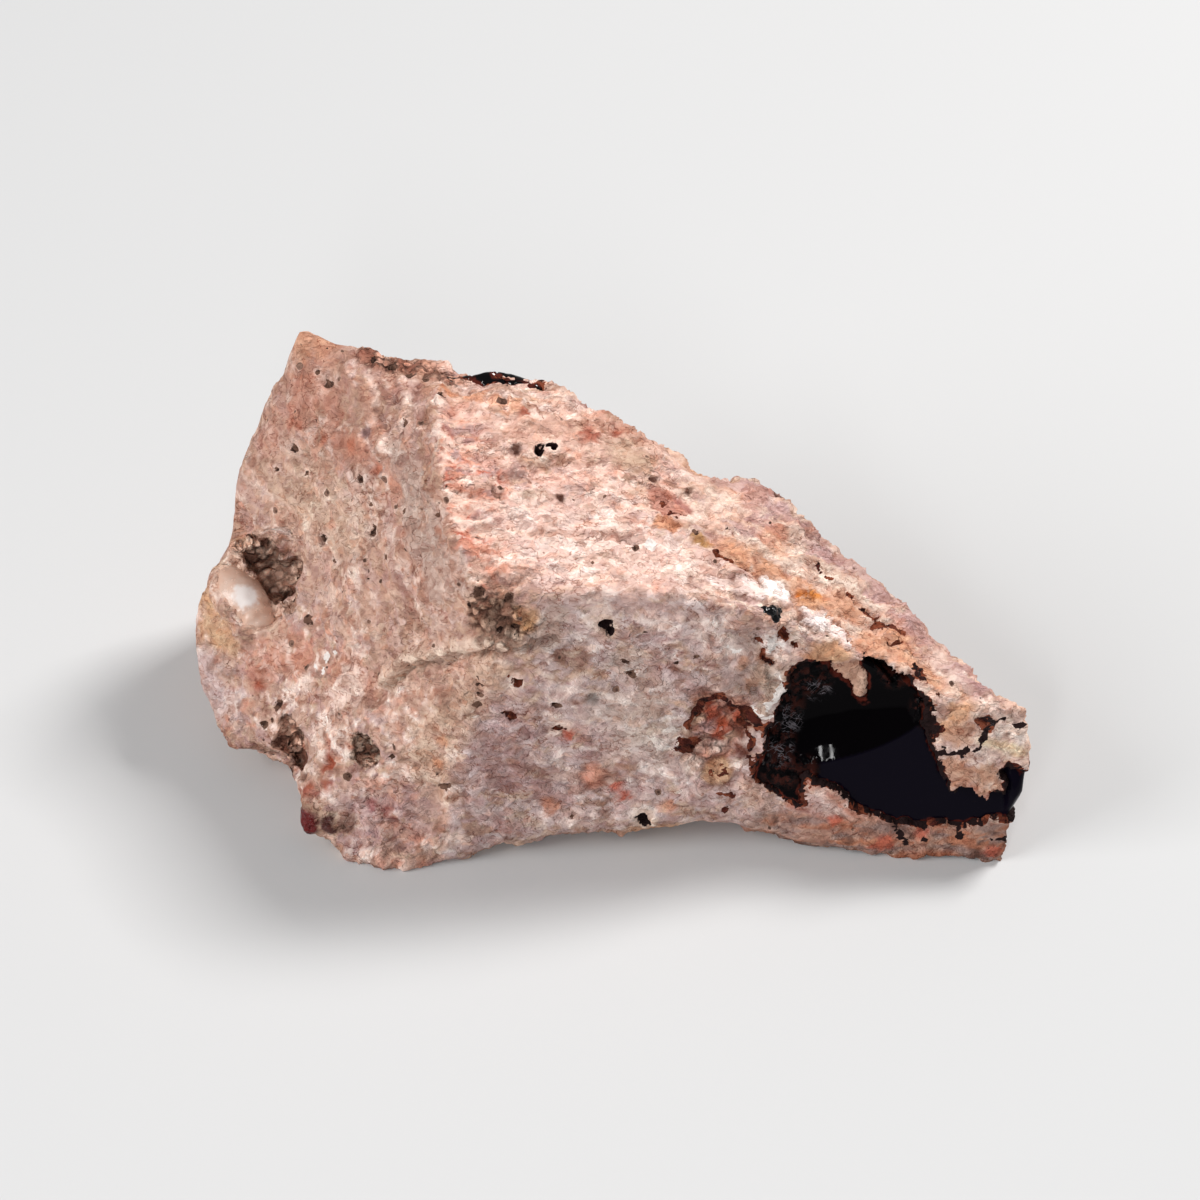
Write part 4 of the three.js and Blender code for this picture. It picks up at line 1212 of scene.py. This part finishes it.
def opal_seam(skin):
    """The black opal: a flat polished-looking lower facet, a hollow upper one and a crumbled dark red rim."""
    keep = skin.opal > -OPAL_BURIED
    faces = skin.triangles[keep[skin.triangles].all(1)]
    used, faces = np.unique(faces, return_inverse=True)
    faces = faces.reshape(-1, 3)
    shows = skin.opal[used]
    p = neighbour_mean(skin.points[used] - OPAL_INSET * skin.normals[used], faces, OPAL_ROUNDS)
    x, y, z = p.T
    flat = step_up(TIP + 0.5, TIP - 0.5, x)
    p[:, 1] = y + flat * (opal_front(x, z) - y)
    crumbly = strongest(x, z, (16, 15.3, 2.2, 0.9, 0.6), (14.2, 12.8, 2.0, 0.8, 0.6),
                        (13.7, 10.2, 1.7, 0.8, 0.6), (14, 7.8, 2.0, 0.9, 0.6), (16, 8, 1.2, 0.6, 0.6),
                        (25.7, 13.4, 2.0, 1.0, 0.6), (22.5, 16, 1.6, 0.8, 0.6))
    p[:, 1] += opal_relief(p, crumbly, shows)
    shelf = step_up(0.08, -0.08, opal_front(x, z) - flat_facet(x, z))
    shelf *= step_up(16.3, 17.2, x + 0.3 * layered_noise(p, 1.0, 57))
    facet = shelf * step_up(0.3, 0.0, crumbly)
    scratched = strongest(x, z, (16.7, 14.3, 1.5, 1.0, 0.5), (14.4, 11.6, 1.5, 1.0, 0.5),
                          (13.8, 9.4, 1.4, 1.0, 0.5))
    depth = EDGE_THICKNESS + MORE_THICKNESS * step_up(-OPAL_BURIED, 1.5, shows)
    points, triangles = closed_patch(p, faces, OPAL_INWARD, depth)
    obj = write_mesh("fire_opal", points, triangles)
    values = {"edge": np.clip(1 - shows / 0.5, 0, 1), "crumbly": crumbly, "facet": facet,
              "scratched": scratched}
    give_values(obj, **{name: np.concatenate([numbers, numbers]) for name, numbers in values.items()})
    obj.data.materials.append(opal_material("fire_opal", OPAL_SHINE))
    return obj


def opal_strip():
    """The thin black strip in the skyline, with a lumpy glassy top."""
    points, triangles = remeshed([node_arrays("fire_opal_ridge_seam")], STRIP_VOXEL)
    points = neighbour_mean(points, triangles, STRIP_ROUNDS)
    normals = vertex_normals(points, triangles)
    points = points + (0.3 * chips(points, 1.8, 53) + 0.2)[:, None] * normals
    obj = write_mesh("fire_opal_strip", points, triangles)
    give_values(obj, edge=np.clip(0.4 + layered_noise(points, 1.2, 54, 2), 0, 0.9))
    obj.data.materials.append(opal_material("fire_opal_strip", STRIP_SHINE))
    return obj


def opal_beads():
    """Black glassy beads that sit on the rock above the opal."""
    meshes = []
    for *place, radius in ((12.4, -10.8, 21.8, 0.45), (12.9, -10.7, 21.7, 0.5), (13.4, -10.5, 21.5, 0.4),
                           (12.1, -11, 21.5, 0.35), (12.6, -11.1, 21.3, 0.42), (13.1, -11.1, 21.1, 0.42)):
        sphere = bmesh.new()
        bmesh.ops.create_icosphere(sphere, subdivisions=4, radius=radius * MM)
        mesh = bpy.data.meshes.new("bead")
        sphere.to_mesh(mesh)
        sphere.free()
        points, triangles = read_mesh(mesh)
        meshes.append((points + place, triangles))
    points, triangles = remeshed(meshes, BEAD_VOXEL)
    points = points + (0.15 * chips(points, 0.6, 55))[:, None] * vertex_normals(points, triangles)
    obj = write_mesh("fire_opal_beads", points, triangles)
    obj.data.materials.append(opal_material("fire_opal_beads", BEAD_SHINE))
    return obj


def lens():
    """The clear, milky hyalite lens, with shell-like arcs chipped at its lower end."""
    points, triangles = remeshed([node_arrays("hyalite_lens", 0.1)], LENS_VOXEL)
    points = neighbour_mean(points, triangles, LENS_ROUNDS)
    normals = vertex_normals(points, triangles)
    run = (points - LENS_PLACE) @ LENS_WAY
    arcs = np.linalg.norm(points - (LENS_PLACE + 3.0 * LENS_WAY), axis=1)
    height = 0.05 * np.sin(2 * np.pi * arcs / LENS_ARC) * step_up(0, 2, run)
    height += 0.12 * layered_noise(points, 1.8, 56, 2)
    points = points + height[:, None] * normals
    obj = write_mesh("hyalite", points, triangles)
    # a white patch: partly the lens's milkiness, partly a painted highlight
    away = np.linalg.norm(points - MILK_AND_HIGHLIGHT_PLACE, axis=1)
    give_values(obj, cloud=np.clip(1 - away / MILK_AND_HIGHLIGHT_REACH, 0, 1))
    obj.data.materials.append(hyalite_material())
    return obj


# ---------------------------------------------------------------- materials

SOCKETS = {"colour": "Base Color", "rough": "Roughness", "ior": "IOR", "specular": "Specular IOR Level",
           "normal": "Normal", "clear": "Transmission Weight"}


def with_alpha(colour):
    """A colour as a socket takes it: with a fourth number, unless it comes out of another node."""
    return colour if isinstance(colour, bpy.types.NodeSocket) else (*colour, 1)


class Nodes:
    """A material's node tree, with short calls for the nodes that the materials here are made of."""

    def __init__(self, name):
        self.material = bpy.data.materials.new(name)
        self.material.use_nodes = True
        self.tree = self.material.node_tree
        self.shader = self.tree.nodes["Principled BSDF"]
        self.place = self.node("TexCoord").outputs["Object"]

    def put(self, socket, value):
        """Links a socket to another node's output, or sets its value."""
        if isinstance(value, bpy.types.NodeSocket):
            self.tree.links.new(value, socket)
        else:
            socket.default_value = value

    def node(self, kind, inputs=(), **settings):
        """A new node with its settings, and with inputs that are values or other nodes' outputs."""
        node = self.tree.nodes.new("ShaderNode" + kind)
        for key, value in settings.items():
            setattr(node, key, value)
        for key, value in dict(inputs).items():
            self.put(node.inputs[key], value)
        return node

    def set(self, **values):
        """Sets the surface's values, under the short names in SOCKETS."""
        for key, value in values.items():
            self.put(self.shader.inputs[SOCKETS[key]], with_alpha(value) if key == "colour" else value)

    def noise_node(self, size, detail, rough, shift, place):
        inputs = {"Scale": 1 / (size * MM), "Detail": detail, "Roughness": rough, "W": shift, "Vector": place}
        return self.node("TexNoise", inputs, noise_dimensions="4D")

    def noise(self, size, detail, rough, shift, place=None):
        """Noise from 0 to 1 with bumps about size mm apart."""
        return self.noise_node(size, detail, rough, shift, place or self.place).outputs["Fac"]

    def swirled(self, size, amount, shift):
        """The place, pushed about by noise."""
        push = self.noise_node(size, 1, 0.5, shift, self.place).outputs["Color"]
        inputs = {0: push, 1: (amount * MM,) * 3, 2: self.place}
        return self.node("VectorMath", inputs, operation="MULTIPLY_ADD").outputs[0]

    def drawn_out(self, place, way, stretch):
        """The place pressed together along a direction, which draws a pattern out along it."""
        turn = Vector(way).to_track_quat("X", "Z").to_euler()
        inputs = {"Vector": place, "Rotation": turn, "Scale": (stretch, 1, 1)}
        return self.node("Mapping", inputs, vector_type="TEXTURE").outputs[0]

    def attribute(self, name, output="Fac"):
        return self.node("Attribute", attribute_name=name).outputs[output]

    def math(self, operation, a, b=0.0, c=0.0):
        return self.node("Math", {0: a, 1: b, 2: c}, operation=operation).outputs[0]

    def step(self, value, low, high, out_low=0.0, out_high=1.0):
        """value eased from out_low at low to out_high at high."""
        inputs = {"Value": value, "From Min": low, "From Max": high, "To Min": out_low, "To Max": out_high}
        return self.node("MapRange", inputs, interpolation_type="SMOOTHSTEP").outputs["Result"]

    def two_of(self, colour):
        """The first two of a colour's three numbers."""
        return self.node("SeparateColor", {0: colour}).outputs[:2]

    def cells(self, size, place):
        """The distance to the nearest of scattered points, in shares of size, and two random values."""
        node = self.node("TexVoronoi", {"Scale": 1 / (size * MM), "Vector": place})
        return node.outputs["Distance"], *self.two_of(node.outputs["Color"])

    def random(self, number):
        """Two random values from 0 to 1 for each whole number."""
        return self.two_of(self.node("TexWhiteNoise", {"W": number}, noise_dimensions="1D").outputs["Color"])

    def levels(self, value, count, riser):
        """(value cut into flat levels, 1 on the risers between them, the level's number)"""
        scaled = self.math("MULTIPLY", value, count)
        part = self.math("FRACT", scaled)
        number = self.math("FLOOR", scaled)
        height = self.math("ADD", number, self.step(part, 0.0, 2 * riser))
        edge = self.step(self.math("ABSOLUTE", self.math("SUBTRACT", part, riser)), 0.0, riser, 1.0, 0.0)
        return self.math("DIVIDE", height, count), edge, number

    def thread(self, value, width):
        """1 on the lines where noise passes its middle, 0 beside them."""
        return self.step(self.math("ABSOLUTE", self.math("SUBTRACT", value, 0.5)), 0.0, width, 1.0, 0.0)

    def mix(self, factor, a, b, blend="MIX"):
        """Colour a where factor is 0 and b, or their product, where it is 1."""
        inputs = {0: factor, 6: with_alpha(a), 7: with_alpha(b)}
        return self.node("Mix", inputs, data_type="RGBA", blend_type=blend).outputs[2]

    def bump(self, height, depth, strength):
        """A surface direction that is bent by a height from 0 to 1, where 1 stands for depth mm."""
        return self.node("Bump", {"Distance": depth * MM, "Strength": strength, "Height": height}).outputs[0]


ROCK_SHINE = 0.2
ROCK_ROUGHNESS = 0.85
GLAZE_SMOOTHS = -0.65   # is added to the roughness where the rock is glazed
GRAIN_DEPTH = 0.7
# the white below is also laid as painted highlights, the near-black also as painted shade in holes, and the
# hole and pore colours are painted shade
CHALK_AND_HIGHLIGHT = (0.93, 0.84, 0.79)
BLACK_AND_SHADE = (0.015, 0.005, 0.005)
STAIN_BLACK = (0.022, 0.004, 0.003)
STAIN_RED = (0.085, 0.015, 0.009)
STAIN_ORANGE = (0.24, 0.06, 0.028)
HOLE_DARK = (0.055, 0.026, 0.019)
HOLE_PALE = (0.19, 0.10, 0.07)
PORE_DARK = (0.10, 0.052, 0.038)
PORE_PALE = (0.30, 0.17, 0.125)


def rock_material():
    """Dull stony rock. Its grain is like thin torn flakes of many shades, with pale edges of painted
    highlight and dark edges of painted shade.
    """
    n = Nodes("rhyolite")

    # the grain: two sizes of torn levels, with pores where the rock is porous and gaps where it is crumbly
    curled = n.drawn_out(n.swirled(1.2, 0.8, 9.0), LEVEL_WAY, 1.6)
    broad = n.noise(2.4, 3, 0.6, 1.0)
    height_a, edge_a, level_a = n.levels(n.noise(1.5, 4, 0.55, 2.0, curled), 7, 0.14)
    height_b, edge_b, level_b = n.levels(n.noise(1.1, 3, 0.5, 3.0, curled), 6, 0.1)
    shade, hue = n.random(n.math("MULTIPLY_ADD", level_b, 17.0, level_a))
    ragged = n.noise(0.55, 3, 0.6, 4.0, curled)
    away, chance, girth = n.cells(1.1, n.swirled(0.7, 0.5, 14.0))
    pore = n.math("SUBTRACT", n.math("MULTIPLY_ADD", n.math("POWER", girth, 3.0), 0.24, 0.07), away)
    closed = n.step(n.math("SUBTRACT", n.attribute("porous"), chance), 0.0, 0.02, -1.0, 0.0)
    pore = n.math("ADD", pore, closed)
    from_crumb, _, _ = n.cells(0.8, n.swirled(0.5, 0.5, 15.0))
    gap = n.math("MULTIPLY", n.step(from_crumb, 0.38, 0.68), n.attribute("crumb"))
    fine = n.noise(0.2, 2, 0.5, 5.0)
    lively = n.step(n.noise(5.0, 2, 0.5, 17.0), 0.36, 0.56, 0.7, 1.0)
    _, shade_a, hue_a = n.cells(0.95, curled)
    _, shade_b, hue_b = n.cells(0.5, curled)

    # the tones of the flakes and of their edges, of the rims of the pores, and of the gaps: the pale and dark
    # edges, the light and dark sides of the ragged grain and the dark gaps are painted highlights and painted
    # shade
    colour = n.attribute("tint", "Color")
    for amount, tone in (
            (n.step(shade_a, 0.3, 0.12, 0.0, 0.9), (0.82, 0.74, 0.71)),
            (n.step(hue_a, 0.74, 0.84, 0.0, 0.9), (1.10, 1.15, 1.17)),
            (n.step(shade_b, 0.24, 0.14, 0.0, 0.9), (0.86, 0.81, 0.82)),
            (n.step(hue_b, 0.8, 0.9, 0.0, 0.9), (1.08, 1.13, 1.14)),
            (n.step(shade_b, 0.84, 0.92, 0.0, 0.8), (1.0, 0.88, 0.82)),
            (n.step(shade, 0.5, 0.0), (0.80, 0.73, 0.71)),
            (n.step(shade, 0.5, 1.0), (1.16, 1.2, 1.22)),
            (n.step(hue, 0.55, 1.0, 0.0, 0.8), (1.04, 0.88, 0.84)),
            (n.step(hue, 0.25, 0.0, 0.0, 0.7), (0.92, 0.92, 0.98)),
            # painted highlights on some flake edges, painted shade on others
            (n.math("MULTIPLY", edge_a, n.step(broad, 0.42, 0.52)), (1.24, 1.32, 1.34)),
            (n.math("MULTIPLY", edge_b, n.step(broad, 0.56, 0.46)), (0.62, 0.46, 0.41)),
            (n.step(fine, 0.3, 0.7), (1.07, 1.08, 1.08)),
            # painted shade on the low parts of the ragged grain, painted highlights on its high parts
            (n.step(ragged, 0.5, 0.34, 0.0, 0.8), (0.74, 0.64, 0.60)),
            (n.step(ragged, 0.54, 0.68, 0.0, 0.8), (1.14, 1.19, 1.21)),
            (n.step(pore, -0.10, -0.02), (1.16, 1.2, 1.2)),
            # painted shade in the gaps between crumbs
            (gap, (0.42, 0.30, 0.27))):
        toned = n.mix(1.0, colour, tone, "MULTIPLY")
        colour = n.mix(n.math("MULTIPLY", amount, lively), colour, toned)

    # what is marked on the rock, with torn edges
    torn = n.math("MULTIPLY_ADD", ragged, 1.8, n.math("MULTIPLY_ADD", fine, 0.3, -1.05))
    stain = n.mix(n.step(ragged, 0.44, 0.54), STAIN_BLACK, STAIN_RED)
    stain = n.mix(n.step(shade, 0.72, 0.78), stain, STAIN_ORANGE)
    # painted shade: the marked holes are filled with dark and pale brown
    hole = n.mix(n.step(ragged, 0.44, 0.54), HOLE_DARK, HOLE_PALE)
    for name, paint in (("chalk_and_highlight", CHALK_AND_HIGHLIGHT), ("rust", stain), ("pit_shade", hole), ("black_and_shade", BLACK_AND_SHADE)):
        inside = n.step(n.math("ADD", n.attribute(name), torn), 0.45, 0.55)
        colour = n.mix(inside, colour, paint)
    # painted shade inside the pores, darker towards their middle
    inner = n.mix(n.step(away, 0.08, 0.2), PORE_DARK, PORE_PALE)
    colour = n.mix(n.step(pore, 0.0, 0.03), colour, inner)
    glaze = n.step(n.attribute("glaze"), 0.35, 0.65)
    n.set(colour=colour, specular=ROCK_SHINE)
    n.set(rough=n.math("MULTIPLY_ADD", glaze, GLAZE_SMOOTHS, ROCK_ROUGHNESS))

    # the relief, from all of these
    height = n.math("MULTIPLY", height_b, 0.6)
    for value, weight in ((height_a, 1.0), (shade, 0.06), (ragged, 0.7), (shade_b, 0.16), (shade_a, 0.22),
                          (fine, 0.08), (n.step(pore, -0.03, 0.06), -0.35), (gap, -1.2)):
        height = n.math("MULTIPLY_ADD", value, weight, height)
    n.set(normal=n.bump(height, GRAIN_DEPTH, n.math("MULTIPLY", lively, 0.9)))
    return n.material


OPAL_SHINE = 0.038
STRIP_SHINE = 0.25
BEAD_SHINE = 0.4
OPAL_BLACK = (0.0010, 0.0006, 0.0010)
VIOLET_REFLECTION = (0.0062, 0.0046, 0.0125)
OPAL_RED = (0.09, 0.016, 0.010)
CRUMB_DARK = (0.016, 0.008, 0.008)
CRUMB_RED = (0.055, 0.014, 0.010)
SCRATCH = (0.15, 0.135, 0.15)
MILK_DARK = (0.88, 0.56, 0.42)
MILK_LIGHT = (0.92, 0.68, 0.56)
MILK_AND_HIGHLIGHT = (0.97, 0.89, 0.85)
HYALITE_IOR = 1.45


def opal_material(name, shine):
    """Black glassy opal: its flat facet faintly violet, a painted reflection, its crumbly edges dark red,
    brown and scratched.
    """
    n = Nodes(name)
    grain = n.noise(0.5, 3, 0.6, 5.0)
    ragged = n.math("MULTIPLY_ADD", n.noise(1.6, 2, 0.5, 12.0), 1.6, n.math("MULTIPLY", grain, 0.8))
    edge = n.step(n.math("ADD", ragged, n.attribute("edge")), 1.75, 2.2)
    crumbs = n.attribute("crumbly")
    # painted reflection: the flat facet's faint violet
    colour = n.mix(n.attribute("facet"), OPAL_BLACK, VIOLET_REFLECTION)
    colour = n.mix(edge, colour, OPAL_RED)
    brown = n.math("MULTIPLY", crumbs, n.step(n.noise(0.9, 4, 0.6, 6.0), 0.46, 0.54))
    reddish = n.mix(n.step(grain, 0.42, 0.5), CRUMB_DARK, CRUMB_RED)
    colour = n.mix(n.math("MULTIPLY", brown, 0.85), colour, reddish)
    hatch = [n.thread(n.noise(0.5, 2, 0.5, 7.0 + i, n.drawn_out(n.place, way, 6.0)), 0.022)
             for i, way in enumerate(((1, 0, 1.3), (1, 0, -0.7)))]
    patchy = n.step(n.noise(1.1, 1, 0.5, 13.0), 0.42, 0.52)
    patchy = n.math("MULTIPLY", n.attribute("scratched"), patchy)
    scratch = n.math("MULTIPLY", n.math("MAXIMUM", *hatch), patchy)
    colour = n.mix(n.math("MULTIPLY", scratch, 0.8), colour, SCRATCH)
    n.set(colour=colour, rough=n.step(n.noise(0.8, 3, 0.6, 8.0), 0.4, 0.7, 0.02, 0.06), specular=shine)
    n.set(normal=n.bump(n.math("MULTIPLY", crumbs, grain), 0.3, 0.8))
    return n.material


def hyalite_material():
    """Glassy opal, milky white and faintly pink, with a white patch that is partly its milkiness and partly a
    painted highlight.
    """
    n = Nodes("hyalite")
    colour = n.mix(n.step(n.noise(1.6, 3, 0.6, 10.0), 0.35, 0.65), MILK_DARK, MILK_LIGHT)
    # the white patch, partly milkiness and partly a painted highlight; the lens is less clear there
    cloud = n.math("MULTIPLY_ADD", n.noise(0.8, 3, 0.6, 16.0), 0.8, n.attribute("cloud"))
    n.set(colour=n.mix(n.step(cloud, 0.68, 1.05), colour, MILK_AND_HIGHLIGHT))
    n.set(rough=n.step(n.noise(0.5, 2, 0.5, 11.0), 0.4, 0.7, 0.12, 0.3))
    n.set(clear=n.step(cloud, 0.68, 1.05, 0.22, 0.05), ior=HYALITE_IOR)
    return n.material


# ---------------------------------------------------------------- the whole picture

PIECES = (("rhyolite", ("rhyolite_matrix",)), ("fire_opal", ("fire_opal_seam",)),
          ("fire_opal", ("fire_opal_ridge_seam",)), ("fire_opal", ()), ("hyalite", ("hyalite_lens",)))

add_camera()
add_studio()
skin = Skin(*bare_stone())
made = (rock(skin), opal_seam(skin), opal_strip(), opal_beads(), lens())
for piece, (slot, nodes) in zip(made, PIECES):
    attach(piece, "root")
    if nodes:
        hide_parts(*nodes)
